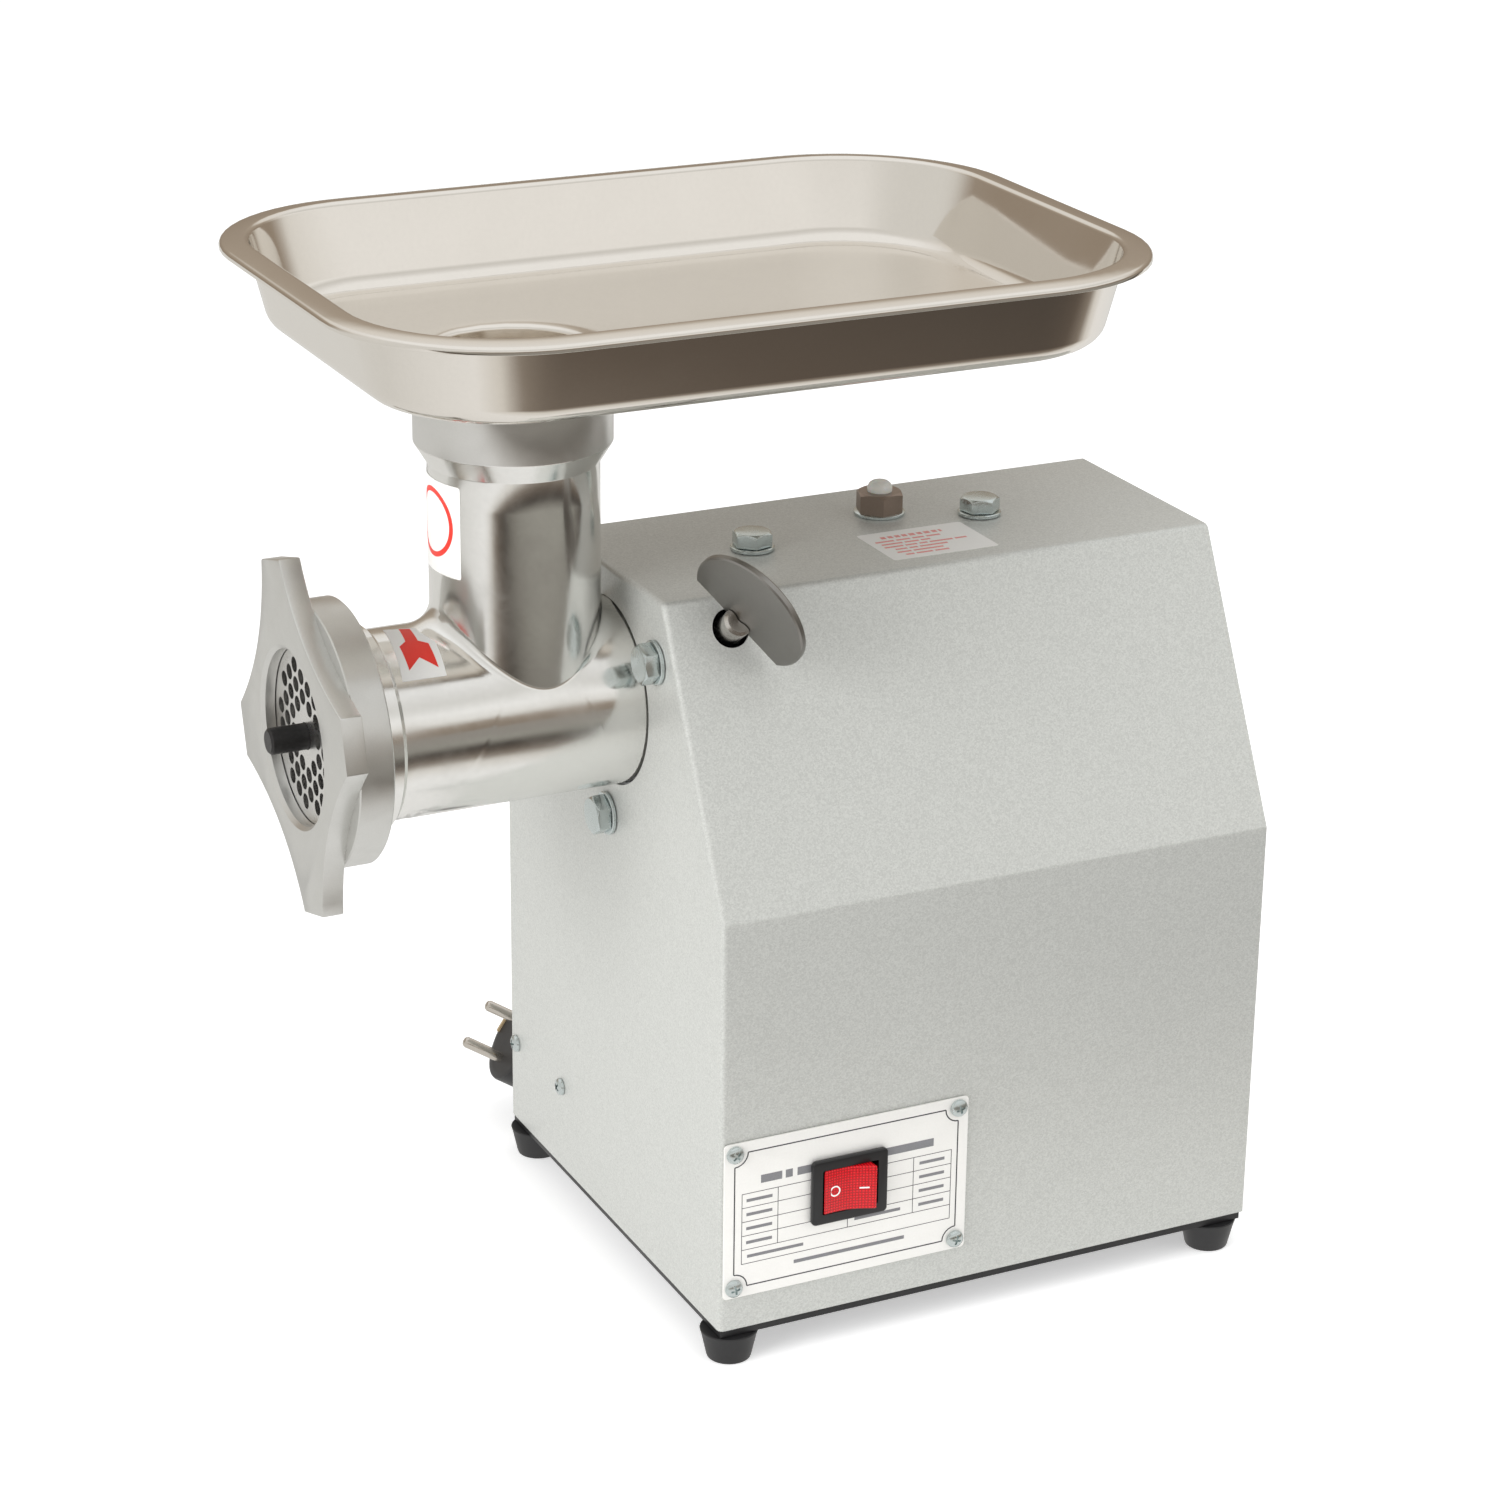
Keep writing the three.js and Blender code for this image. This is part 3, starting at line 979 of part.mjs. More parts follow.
addPiece(machine, "vent_cap", upright(turned([
  [0, 0],
  [VENT_CAP_RADIUS, 0],
  [VENT_CAP_RADIUS, VENT_CAP_HEIGHT * 0.4],
  [VENT_CAP_RADIUS * 0.8, VENT_CAP_HEIGHT * 0.8],
  [VENT_CAP_RADIUS * 0.3, VENT_CAP_HEIGHT],
  [0, VENT_CAP_HEIGHT],
], SMALL_SIDES)), MILKY, [VENT_PLACE[0], VENT_PLACE[1], TOP_Z + 2 * GAP + VENT_HEIGHT]);

FRONT_SCREWS.forEach(([y, rise], i) =>
  addPiece(machine, `front_screw_${i + 1}`, panScrew(), ZINC, [-GAP, y, HOUSING_BOTTOM + rise]));
rearScrewPlaces.forEach(([y, z], i) =>
  addPiece(machine, `rear_screw_${i + 1}`, panScrew().rotate([0, 0, 180]), ZINC, [HOUSING_LENGTH + GAP, y, z]));

addPiece(machine, "nameplate", nameplate(), PLATE_FACE);
nameplateScrews.forEach(([x, z], i) =>
  addPiece(machine, `nameplate_screw_${i + 1}`, panScrew().rotate([0, 0, 90]), ZINC,
    [x, -SIDE_Y - 2 * GAP - NAMEPLATE_THICKNESS, z]));
const control = addGroup(machine, [SWITCH_CENTRE, -SIDE_Y, switchZ]);
addPiece(control, "switch_body", switchBody(), PLASTIC);
addPiece(control, "switch_rocker", rocker(), RED);

addPiece(drive, "grinder_head", grinderHead(), CAST);
addPiece(drive, "hole_plate", holePlate(), STAINLESS);
addPiece(drive, "knife", knife(), STEEL);
addPiece(drive, "auger", auger(), CAST);
const nut = addGroup(drive, [0, 0, 0], [degrees(-NUT_TURN), 0, 0]);
addPiece(nut, "ring_nut", ringNut(), CAST);
addPiece(machine, "feed_tray", tray(), STAINLESS, [-THROAT_SETBACK, 0, TRAY_BOTTOM]);
const lock = addGroup(drive, [LOCK_SETBACK, 0, 0], [degrees(LOCK_ANGLE), 0, 0]);
addPiece(lock, "lock_screw", lockRod(), STEEL);
addPiece(lock, "lock_disc", lockDisc(), STEEL);

addPiece(machine, "cord_gland", gland(), RUBBER, [HOUSING_LENGTH + GAP, GLAND_SIDE, GLAND_Z]);
addPiece(machine, "cord_lead", cordRun(leadRoute, 36), RUBBER, [GAP * 2, 0, 0]);
addPiece(machine, "cord_tail", cordRun(tailRoute, 8), RUBBER);
addPiece(machine, "cord_coil", upright(ring(
  COIL_RADIUS - COIL_HALF_WIDTH, COIL_RADIUS + COIL_HALF_WIDTH, 0, COIL_HEIGHT,
)), RUBBER, [COIL_CENTRE[0], COIL_CENTRE[1], GAP]);
const plugGroup = addGroup(machine, PLUG_TAIL, [0, 0, degrees(PLUG_BEARING)]);
const plugLean = addGroup(plugGroup, [0, 0, 0], [0, degrees(-PLUG_LEAN), 0]);
addPiece(plugLean, "mains_plug", plug(), RUBBER, [GAP, 0, 0]);

export default group;
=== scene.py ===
"""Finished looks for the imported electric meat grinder.

The CAD model is loaded as a fixed frame. Every new piece is modelled in millimetres in the machine's own
axes, where x = 0 is the front face of the housing, -y the switch side and z = 0 the worktop, and is then
seated in the frame in metres.
"""

import json
import logging
import math
from collections.abc import Callable, Iterable, Sequence
from dataclasses import dataclass
from enum import Enum

import bmesh
import bpy
from mathutils import Matrix, Vector

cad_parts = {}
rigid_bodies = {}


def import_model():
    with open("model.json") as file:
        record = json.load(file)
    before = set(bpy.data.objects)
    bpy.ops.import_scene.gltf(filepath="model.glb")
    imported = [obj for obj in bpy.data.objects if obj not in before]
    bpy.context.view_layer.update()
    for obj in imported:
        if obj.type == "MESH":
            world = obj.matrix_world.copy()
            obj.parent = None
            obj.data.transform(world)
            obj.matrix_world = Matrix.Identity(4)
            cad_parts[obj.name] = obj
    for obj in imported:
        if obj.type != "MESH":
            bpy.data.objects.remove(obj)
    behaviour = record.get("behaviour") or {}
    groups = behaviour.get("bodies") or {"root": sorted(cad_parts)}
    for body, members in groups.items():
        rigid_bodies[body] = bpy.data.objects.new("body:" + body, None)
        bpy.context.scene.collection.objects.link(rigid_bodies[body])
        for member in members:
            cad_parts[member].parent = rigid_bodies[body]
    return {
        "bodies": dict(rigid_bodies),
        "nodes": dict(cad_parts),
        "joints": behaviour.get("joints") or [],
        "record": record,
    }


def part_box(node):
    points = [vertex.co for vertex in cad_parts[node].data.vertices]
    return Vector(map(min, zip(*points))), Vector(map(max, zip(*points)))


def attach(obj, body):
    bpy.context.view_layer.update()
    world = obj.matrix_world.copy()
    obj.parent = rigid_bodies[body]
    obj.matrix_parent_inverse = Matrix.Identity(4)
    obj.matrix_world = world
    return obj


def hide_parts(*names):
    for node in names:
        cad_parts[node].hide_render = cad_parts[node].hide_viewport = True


LOG = logging.getLogger("meat_grinder")
MM = 0.001

Profile = Sequence[tuple[float, float]]
Loop = Sequence[Vector]


class Axis(Enum):
    """The machine axis that a turned or extruded piece runs along."""

    X = 0
    Y = 1
    Z = 2

    def place(self, along: float, across: float, up: float) -> Vector:
        """Returns the point at `along` on this axis and at two distances off it."""
        if self is Axis.X:
            return Vector((along, across, up))
        if self is Axis.Y:
            return Vector((across, along, up))
        return Vector((across, up, along))


class End(Enum):
    """How a skin stops at one of its ends."""

    OPEN = "open"
    CAP = "cap"


class Carve(Enum):
    """What a boolean tool does to a piece."""

    AWAY = "DIFFERENCE"
    JOIN = "UNION"
    COMMON = "INTERSECT"


# ------------------------------------------------------------------------------------------ workbench


def clear() -> None:
    """Leaves nothing selected, so that the next operator acts on its own piece alone."""
    if bpy.context.object and bpy.context.object.mode != "OBJECT":
        bpy.ops.object.mode_set(mode="OBJECT")
    bpy.ops.object.select_all(action="DESELECT")


def take(*pieces: bpy.types.Object) -> bpy.types.Object:
    """Selects only the given pieces and makes the first one active.

    Args:
        pieces: The pieces to work on.

    Returns:
        The first piece.
    """
    clear()
    for piece in pieces:
        piece.select_set(True)
    bpy.context.view_layer.objects.active = pieces[0]
    return pieces[0]


def edit_mesh(piece: bpy.types.Object) -> bmesh.types.BMesh:
    """Returns the mesh of a piece that is in edit mode, with its tables built."""
    work = bmesh.from_edit_mesh(piece.data)
    work.verts.ensure_lookup_table()
    work.faces.ensure_lookup_table()
    return work


def pick_faces(piece: bpy.types.Object, wanted: Callable[[Vector], bool]) -> None:
    """Selects, in edit mode, just the faces whose middle passes a test.

    Args:
        piece: A piece in edit mode.
        wanted: Test of a face's middle.
    """
    bpy.ops.mesh.select_mode(type="FACE")
    bpy.ops.mesh.select_all(action="DESELECT")
    work = edit_mesh(piece)
    for face in work.faces:
        face.select_set(wanted(face.calc_center_median()))
    bmesh.update_edit_mesh(piece.data)


def pick_edges(piece: bpy.types.Object, wanted: Callable[[Vector, Vector], bool]) -> None:
    """Selects, in edit mode, just the edges whose two ends pass a test.

    Args:
        piece: A piece in edit mode.
        wanted: Test of the two ends of an edge.
    """
    bpy.ops.mesh.select_mode(type="EDGE")
    bpy.ops.mesh.select_all(action="DESELECT")
    work = edit_mesh(piece)
    for edge in work.edges:
        edge.select_set(wanted(edge.verts[0].co, edge.verts[1].co))
    bmesh.update_edit_mesh(piece.data)


def lofted(
    name: str,
    loops: Sequence[Loop],
    start: End = End.CAP,
    end: End = End.CAP,
    closed: bool = False,
) -> bpy.types.Object:
    """Extrudes a circle ring by ring and lays each new ring on the next loop of points.

    Args:
        name: Name of the piece.
        loops: Loops with the same number of points, none of them doubled.
        start: Whether the first loop is capped.
        end: Whether the last loop is capped.
        closed: Whether the skin runs on from the last loop into the first.

    Returns:
        The piece, with its faces pointing out.
    """
    stations = [list(loop) for loop in loops]
    if closed:
        stations.append(stations[0])
    clear()
    bpy.ops.mesh.primitive_circle_add(vertices=len(stations[0]), radius=1.0, fill_type="NGON")
    piece = bpy.context.object
    piece.name = name
    bpy.ops.object.mode_set(mode="EDIT")
    bpy.ops.mesh.select_all(action="SELECT")
    work = edit_mesh(piece)
    for vert, point in zip(work.verts, stations[0]):
        vert.co = point
    bmesh.update_edit_mesh(piece.data)
    for before, after in zip(stations, stations[1:]):
        bpy.ops.mesh.extrude_region_move()
        work = edit_mesh(piece)
        places = {tuple(round(c, 3) for c in point): i for i, point in enumerate(before)}
        for vert in work.verts:
            if vert.select:
                vert.co = after[places[tuple(round(c, 3) for c in vert.co)]]
        bmesh.update_edit_mesh(piece.data)
    count = len(stations[0])
    middles = [sum(stations[i], Vector()) / count for i in (0, -1)]
    drop = [closed or start is End.OPEN, closed or end is End.OPEN]
    work = edit_mesh(piece)
    doomed = [
        face for face in work.faces
        for middle, open_end in zip(middles, drop)
        if open_end and len(face.verts) == count
        and (sum((v.co for v in face.verts), Vector()) / count - middle).length < 0.01
    ]
    bmesh.ops.delete(work, geom=list(set(doomed)), context="FACES_ONLY")
    bmesh.update_edit_mesh(piece.data)
    bpy.ops.mesh.select_all(action="SELECT")
    if closed:
        bpy.ops.mesh.remove_doubles(threshold=0.002)
    bpy.ops.mesh.normals_make_consistent(inside=False)
    bpy.ops.object.mode_set(mode="OBJECT")
    return piece


def turned(
    name: str,
    profile: Profile,
    axis: Axis = Axis.Z,
    centre: tuple[float, float, float] = (0, 0, 0),
    sides: int = 64,
    closed: bool = False,
) -> bpy.types.Object:
    """Makes a round piece from its half section.

    Args:
        name: Name of the piece.
        profile: Radius and place along the axis of each ring, none on the axis itself.
        axis: Axis that the piece turns about.
        centre: Where that axis passes.
        sides: Facets around it.
        closed: Whether the section closes on itself, as a washer's does.

    Returns:
        The piece.
    """
    angles = [2 * math.pi * i / sides for i in range(sides)]
    origin = Vector(centre)
    loops = [
        [origin + axis.place(along, radius * math.cos(a), radius * math.sin(a)) for a in angles]
        for radius, along in profile
    ]
    return lofted(name, loops, closed=closed)


def prism(
    name: str, outline: Profile, low: float, high: float, axis: Axis = Axis.X
) -> bpy.types.Object:
    """Extrudes a flat outline along an axis and caps it at both ends."""
    loops = [[axis.place(at, a, b) for a, b in outline] for at in (low, high)]
    return lofted(name, loops)


def block(name: str, low: Sequence[float], high: Sequence[float]) -> bpy.types.Object:
    """Returns a box between two corners, as a start for cutting or softening."""
    outline = [(low[1], low[2]), (high[1], low[2]), (high[1], high[2]), (low[1], high[2])]
    return prism(name, outline, low[0], high[0])


def rounded(outline: Profile, radius: float | Sequence[float], steps: int = 6) -> list[tuple[float, float]]:
    """Rounds the corners of an outline.

    Args:
        outline: Corners in order.
        radius: One radius, or one for each corner; 0 leaves a corner sharp.
        steps: Chords in each rounded corner.

    Returns:
        The corners with arcs in their place.
    """
    radii = [radius] * len(outline) if isinstance(radius, (int, float)) else list(radius)
    made: list[tuple[float, float]] = []
    for i, corner in enumerate(outline):
        here = Vector(corner)
        if radii[i] <= 0:
            made.append(tuple(here))
            continue
        to_last = (Vector(outline[i - 1]) - here).normalized()
        to_next = (Vector(outline[(i + 1) % len(outline)]) - here).normalized()
        half = to_last.angle(to_next) / 2
        reach = radii[i] / math.tan(half)
        hub = here + (to_last + to_next).normalized() * (radii[i] / math.sin(half))
        first, last = here + to_last * reach - hub, here + to_next * reach - hub
        sweep = first.angle_signed(last)
        for step in range(steps + 1):
            spoke = first.copy()
            spoke.rotate(Matrix.Rotation(-sweep * step / steps, 2))
            made.append(tuple(hub + spoke))
    return made


def carve(
    piece: bpy.types.Object, tool: bpy.types.Object, how: Carve = Carve.AWAY
) -> bpy.types.Object:
    """Applies a boolean with a tool, which is then thrown away.

    Args:
        piece: The piece that is cut or joined.
        tool: The other solid.
        how: What the tool does.

    Returns:
        The piece.
    """
    take(piece)
    change = piece.modifiers.new("carve", "BOOLEAN")
    change.operation = how.value
    change.object = tool
    change.solver = "EXACT"
    bpy.ops.object.modifier_apply(modifier=change.name)
    bpy.data.objects.remove(tool, do_unlink=True)
    return piece


def soften(
    piece: bpy.types.Object, width: float, segments: int = 2, angle: float = 30.0
) -> bpy.types.Object:
    """Rounds every edge that is sharper than an angle in degrees."""
    take(piece)
    change = piece.modifiers.new("soften", "BEVEL")
    change.width = width
    change.segments = segments
    change.limit_method = "ANGLE"
    change.angle_limit = math.radians(angle)
    change.use_clamp_overlap = True
    bpy.ops.object.modifier_apply(modifier=change.name)
    return piece


def joined(name: str, pieces: Sequence[bpy.types.Object]) -> bpy.types.Object:
    """Makes several meshes one piece."""
    piece = take(*pieces)
    bpy.ops.object.join()
    piece.name = name
    return piece


def copied(piece: bpy.types.Object, name: str, move: Matrix) -> bpy.types.Object:
    """Returns a copy of a piece with its own mesh, carried by a matrix."""
    twin = piece.copy()
    twin.data = piece.data.copy()
    twin.name = name
    bpy.context.collection.objects.link(twin)
    twin.data.transform(move)
    return twin


def discard(piece: bpy.types.Object) -> None:
    """Removes a pattern piece once its copies are made."""
    bpy.data.objects.remove(piece, do_unlink=True)


def spin(degrees: float, axis: str, about: Sequence[float] = (0, 0, 0)) -> Matrix:
    """Returns a turn in degrees about an axis through a point."""
    to = Matrix.Translation(Vector(about))
    return to @ Matrix.Rotation(math.radians(degrees), 4, axis) @ to.inverted()


def shift(x: float, y: float, z: float) -> Matrix:
    """Returns a move."""
    return Matrix.Translation((x, y, z))


# ------------------------------------------------------------------------------------------ finishes


class Effects:
    """Shader node groups that several finishes share, each built once."""

    def __init__(self) -> None:
        self.made: dict[str, bpy.types.NodeTree] = {}

    def group(
        self, name: str, inputs: dict[str, tuple[str, object]], outputs: dict[str, str]
    ) -> tuple[bpy.types.NodeTree, bool]:
        """Finds a group by name, or starts it with its sockets.

        Args:
            name: Name of the effect.
            inputs: Socket type and default by name.
            outputs: Socket type by name.

        Returns:
            The group, and whether it still has to be filled.
        """
        if name in self.made:
            return self.made[name], False
        tree = bpy.data.node_groups.new(name, "ShaderNodeTree")
        for label, (kind, default) in inputs.items():
            socket = tree.interface.new_socket(label, in_out="INPUT", socket_type=kind)
            if default is not None:
                socket.default_value = default
        for label, kind in outputs.items():
            tree.interface.new_socket(label, in_out="OUTPUT", socket_type=kind)
        self.made[name] = tree
        return tree, True

    def grain(self) -> bpy.types.NodeTree:
        """Returns fine surface grain: two layers of noise as a height and a tone."""
        tree, fresh = self.group(
            "surface_grain",
            {"Vector": ("NodeSocketVector", None), "Scale": ("NodeSocketFloat", 2.0)},
            {"Height": "NodeSocketFloat", "Tone": "NodeSocketFloat"},
        )
        if fresh:
            nodes, link = tree.nodes, tree.links.new
            into, out = nodes.new("NodeGroupInput"), nodes.new("NodeGroupOutput")
            fine, broad = nodes.new("ShaderNodeTexNoise"), nodes.new("ShaderNodeTexNoise")
            fine.inputs["Detail"].default_value = 3.0
            broad.inputs["Detail"].default_value = 2.0
            wider = nodes.new("ShaderNodeMath")
            wider.operation = "MULTIPLY"
            wider.inputs[1].default_value = 0.13
            mixed = nodes.new("ShaderNodeMix")
            mixed.inputs["Factor"].default_value = 0.35
            link(into.outputs["Vector"], fine.inputs["Vector"])
            link(into.outputs["Vector"], broad.inputs["Vector"])
            link(into.outputs["Scale"], fine.inputs["Scale"])
            link(into.outputs["Scale"], wider.inputs[0])
            link(wider.outputs[0], broad.inputs["Scale"])
            link(fine.outputs["Fac"], mixed.inputs["A"])
            link(broad.outputs["Fac"], mixed.inputs["B"])
            link(fine.outputs["Fac"], out.inputs["Height"])
            link(mixed.outputs["Result"], out.inputs["Tone"])
        return tree

    def smudge(self) -> bpy.types.NodeTree:
        """Returns handling marks: soft blotches broken by short rubbed streaks, between two values."""
        tree, fresh = self.group(
            "handling_smudge",
            {
                "Vector": ("NodeSocketVector", None), "Scale": ("NodeSocketFloat", 0.02),
                "Low": ("NodeSocketFloat", 0.2), "High": ("NodeSocketFloat", 0.4),
            },
            {"Value": "NodeSocketFloat"},
        )
        if fresh:
            nodes, link = tree.nodes, tree.links.new
            into, out = nodes.new("NodeGroupInput"), nodes.new("NodeGroupOutput")
            blot = nodes.new("ShaderNodeTexNoise")
            blot.inputs["Detail"].default_value = 5.0
            blot.inputs["Roughness"].default_value = 0.62
            blot.inputs["Distortion"].default_value = 0.6
            spread = nodes.new("ShaderNodeMapRange")
            spread.inputs["From Min"].default_value = 0.32
            spread.inputs["From Max"].default_value = 0.72
            link(into.outputs["Vector"], blot.inputs["Vector"])
            link(into.outputs["Scale"], blot.inputs["Scale"])
            link(blot.outputs["Fac"], spread.inputs["Value"])
            link(into.outputs["Low"], spread.inputs["To Min"])
            link(into.outputs["High"], spread.inputs["To Max"])
            link(spread.outputs["Result"], out.inputs["Value"])
        return tree

    def lines(self) -> bpy.types.NodeTree:
        """Returns brushed or turned lines that run across the stretched direction of the vector."""
        tree, fresh = self.group(
            "brush_lines",
            {
                "Vector": ("NodeSocketVector", None), "Scale": ("NodeSocketFloat", 1.0),
                "Stretch": ("NodeSocketVector", (1.0, 1.0, 1.0)),
            },
            {"Lines": "NodeSocketFloat"},
        )
        if fresh:
            nodes, link = tree.nodes, tree.links.new
            into, out = nodes.new("NodeGroupInput"), nodes.new("NodeGroupOutput")
            scaled = nodes.new("ShaderNodeVectorMath")
            scaled.operation = "MULTIPLY"
            noise = nodes.new("ShaderNodeTexNoise")
            noise.inputs["Detail"].default_value = 4.0
            noise.inputs["Roughness"].default_value = 0.7
            link(into.outputs["Vector"], scaled.inputs[0])
            link(into.outputs["Stretch"], scaled.inputs[1])
            link(scaled.outputs["Vector"], noise.inputs["Vector"])
            link(into.outputs["Scale"], noise.inputs["Scale"])
            link(noise.outputs["Fac"], out.inputs["Lines"])
        return tree

    def dots(self) -> bpy.types.NodeTree:
        """Returns a square grid of small raised dots on the x and z of the vector."""
        tree, fresh = self.group(
            "dot_grid",
            {"Vector": ("NodeSocketVector", None), "Pitch": ("NodeSocketFloat", 1.0)},
            {"Dots": "NodeSocketFloat"},
        )
        if fresh:
            nodes, link = tree.nodes, tree.links.new
            into, out = nodes.new("NodeGroupInput"), nodes.new("NodeGroupOutput")
            split = nodes.new("ShaderNodeSeparateXYZ")
            link(into.outputs["Vector"], split.inputs[0])
            waves = []
            for name in ("X", "Z"):
                over, wave = nodes.new("ShaderNodeMath"), nodes.new("ShaderNodeMath")
                over.operation, wave.operation = "DIVIDE", "PINGPONG"
                wave.inputs[1].default_value = 0.5
                link(split.outputs[name], over.inputs[0])
                link(into.outputs["Pitch"], over.inputs[1])
                link(over.outputs[0], wave.inputs[0])
                waves.append(wave)
            both = nodes.new("ShaderNodeMath")
            both.operation = "MINIMUM"
            ramp = nodes.new("ShaderNodeMapRange")
            ramp.inputs["From Min"].default_value = 0.12
            ramp.inputs["From Max"].default_value = 0.26
            link(waves[0].outputs[0], both.inputs[0])
            link(waves[1].outputs[0], both.inputs[1])
            link(both.outputs[0], ramp.inputs["Value"])
            link(ramp.outputs["Result"], out.inputs["Dots"])
        return tree


EFFECTS = Effects()
Colour = tuple[float, float, float]


@dataclass(frozen=True)
class Finish:
    """One surface finish. Lengths are in millimetres; colours are linear.

    Attributes:
        name: Name of the material.
        colour: Base colour.
        metallic: 0 for a dielectric, 1 for bare metal.
        rough: Lowest and highest roughness over the surface.
        tone: How far the grain lightens and darkens the colour.
        grain: Grains in a millimetre.
        bump: Height of the grain.
        smudge: Size of the handling blotches.
        brush: Stretch of the brush lines along x, y and z; None for no lines.
        brush_bump: Height of the brush lines.
        coat: Weight of a clear coat.
        specular: Specular level of a dielectric.
        subsurface: Subsurface weight.
    """

    name: str
    colour: Colour
    metallic: float = 0.0
    rough: tuple[float, float] = (0.4, 0.5)
    tone: float = 0.06
    grain: float = 1.5
    bump: float = 0.004
    smudge: float = 40.0
    brush: Colour | None = None
    brush_bump: float = 0.003
    coat: float = 0.0
    specular: float = 0.5
    subsurface: float = 0.0

    def shader(self) -> bpy.types.Material:
        """Builds the material with its colour, roughness and relief from nodes.

        Returns:
            The material, built once for each name.
        """
        known = bpy.data.materials.get(self.name)
        if known:
            return known
        material = bpy.data.materials.new(self.name)
        material.use_nodes = True
        tree = material.node_tree
        nodes, link = tree.nodes, tree.links.new
        principled = nodes["Principled BSDF"]
        principled.inputs["Metallic"].default_value = self.metallic
        principled.inputs["Coat Weight"].default_value = self.coat
        principled.inputs["Coat Roughness"].default_value = 0.12
        principled.inputs["Specular IOR Level"].default_value = self.specular
        if self.subsurface:
            principled.inputs["Subsurface Weight"].default_value = self.subsurface
            principled.inputs["Subsurface Scale"].default_value = 0.002
        where = nodes.new("ShaderNodeTexCoord")
        in_mm = nodes.new("ShaderNodeMapping")
        in_mm.inputs["Scale"].default_value = (1000.0, 1000.0, 1000.0)
        link(where.outputs["Object"], in_mm.inputs["Vector"])
        vector = in_mm.outputs["Vector"]

        grain = self.effect(tree, EFFECTS.grain(), vector, Scale=self.grain)
        smudge = self.effect(
            tree, EFFECTS.smudge(), vector, Scale=1.0 / self.smudge, Low=self.rough[0], High=self.rough[1]
        )
        shade = nodes.new("ShaderNodeMix")
        shade.data_type = "RGBA"
        shade.inputs["A"].default_value = (*[c * (1 - self.tone) for c in self.colour], 1)
        shade.inputs["B"].default_value = (*[min(1.0, c * (1 + self.tone)) for c in self.colour], 1)
        link(grain.outputs["Tone"], shade.inputs["Factor"])
        relief = nodes.new("ShaderNodeBump")
        relief.inputs["Distance"].default_value = self.bump * MM
        link(grain.outputs["Height"], relief.inputs["Height"])
        colour, roughness, normal = shade.outputs["Result"], smudge.outputs["Value"], relief.outputs["Normal"]
        if self.brush:
            lines = self.effect(tree, EFFECTS.lines(), vector, Scale=1.0, Stretch=self.brush)
            scored = nodes.new("ShaderNodeBump")
            scored.inputs["Distance"].default_value = self.brush_bump * MM
            link(lines.outputs["Lines"], scored.inputs["Height"])
            link(normal, scored.inputs["Normal"])
            normal = scored.outputs["Normal"]
        colour, roughness, normal = self.detail(tree, vector, colour, roughness, normal)
        link(colour, principled.inputs["Base Color"])
        link(roughness, principled.inputs["Roughness"])
        link(normal, principled.inputs["Normal"])
        return material

    def detail(
        self, tree: bpy.types.NodeTree, vector: bpy.types.NodeSocket, colour: bpy.types.NodeSocket,
        roughness: bpy.types.NodeSocket, normal: bpy.types.NodeSocket,
    ) -> tuple[bpy.types.NodeSocket, bpy.types.NodeSocket, bpy.types.NodeSocket]:
        """Lets a finish add its own detail; the plain one adds none."""
        return colour, roughness, normal

    @staticmethod
    def effect(
        tree: bpy.types.NodeTree, effect: bpy.types.NodeTree, vector: bpy.types.NodeSocket, **values: object
    ) -> bpy.types.Node:
        """Places a shared effect in a material with its own values."""
        node = tree.nodes.new("ShaderNodeGroup")
        node.node_tree = effect
        tree.links.new(vector, node.inputs["Vector"])
        for label, value in values.items():
            node.inputs[label].default_value = value
        return node


@dataclass(frozen=True)
class DottedFinish(Finish):
    """Glossy plastic with a square grid of small moulded dots, and painted shade in the gaps between them.

    Attributes:
        pitch: Distance between dots.
        dot_height: Height of a dot.
    """

    pitch: float = 0.9
    dot_height: float = 0.12

    def detail(
        self, tree: bpy.types.NodeTree, vector: bpy.types.NodeSocket, colour: bpy.types.NodeSocket,
        roughness: bpy.types.NodeSocket, normal: bpy.types.NodeSocket,
    ) -> tuple[bpy.types.NodeSocket, bpy.types.NodeSocket, bpy.types.NodeSocket]:
        """Paints shade into the gaps between the dots and raises the dots themselves."""
        dots = self.effect(tree, EFFECTS.dots(), vector, Pitch=self.pitch)
        # Painted shade: the gaps between the dots are painted at half the plastic's colour.
        shade = tree.nodes.new("ShaderNodeMix")
        shade.data_type = "RGBA"
        shade.inputs["A"].default_value = (*[c * 0.5 for c in self.colour], 1)
        raised = tree.nodes.new("ShaderNodeBump")
        raised.inputs["Distance"].default_value = self.dot_height * MM
        link = tree.links.new
        link(dots.outputs["Dots"], shade.inputs["Factor"])
        link(colour, shade.inputs["B"])
        link(dots.outputs["Dots"], raised.inputs["Height"])
        link(normal, raised.inputs["Normal"])
        return shade.outputs["Result"], roughness, raised.outputs["Normal"]


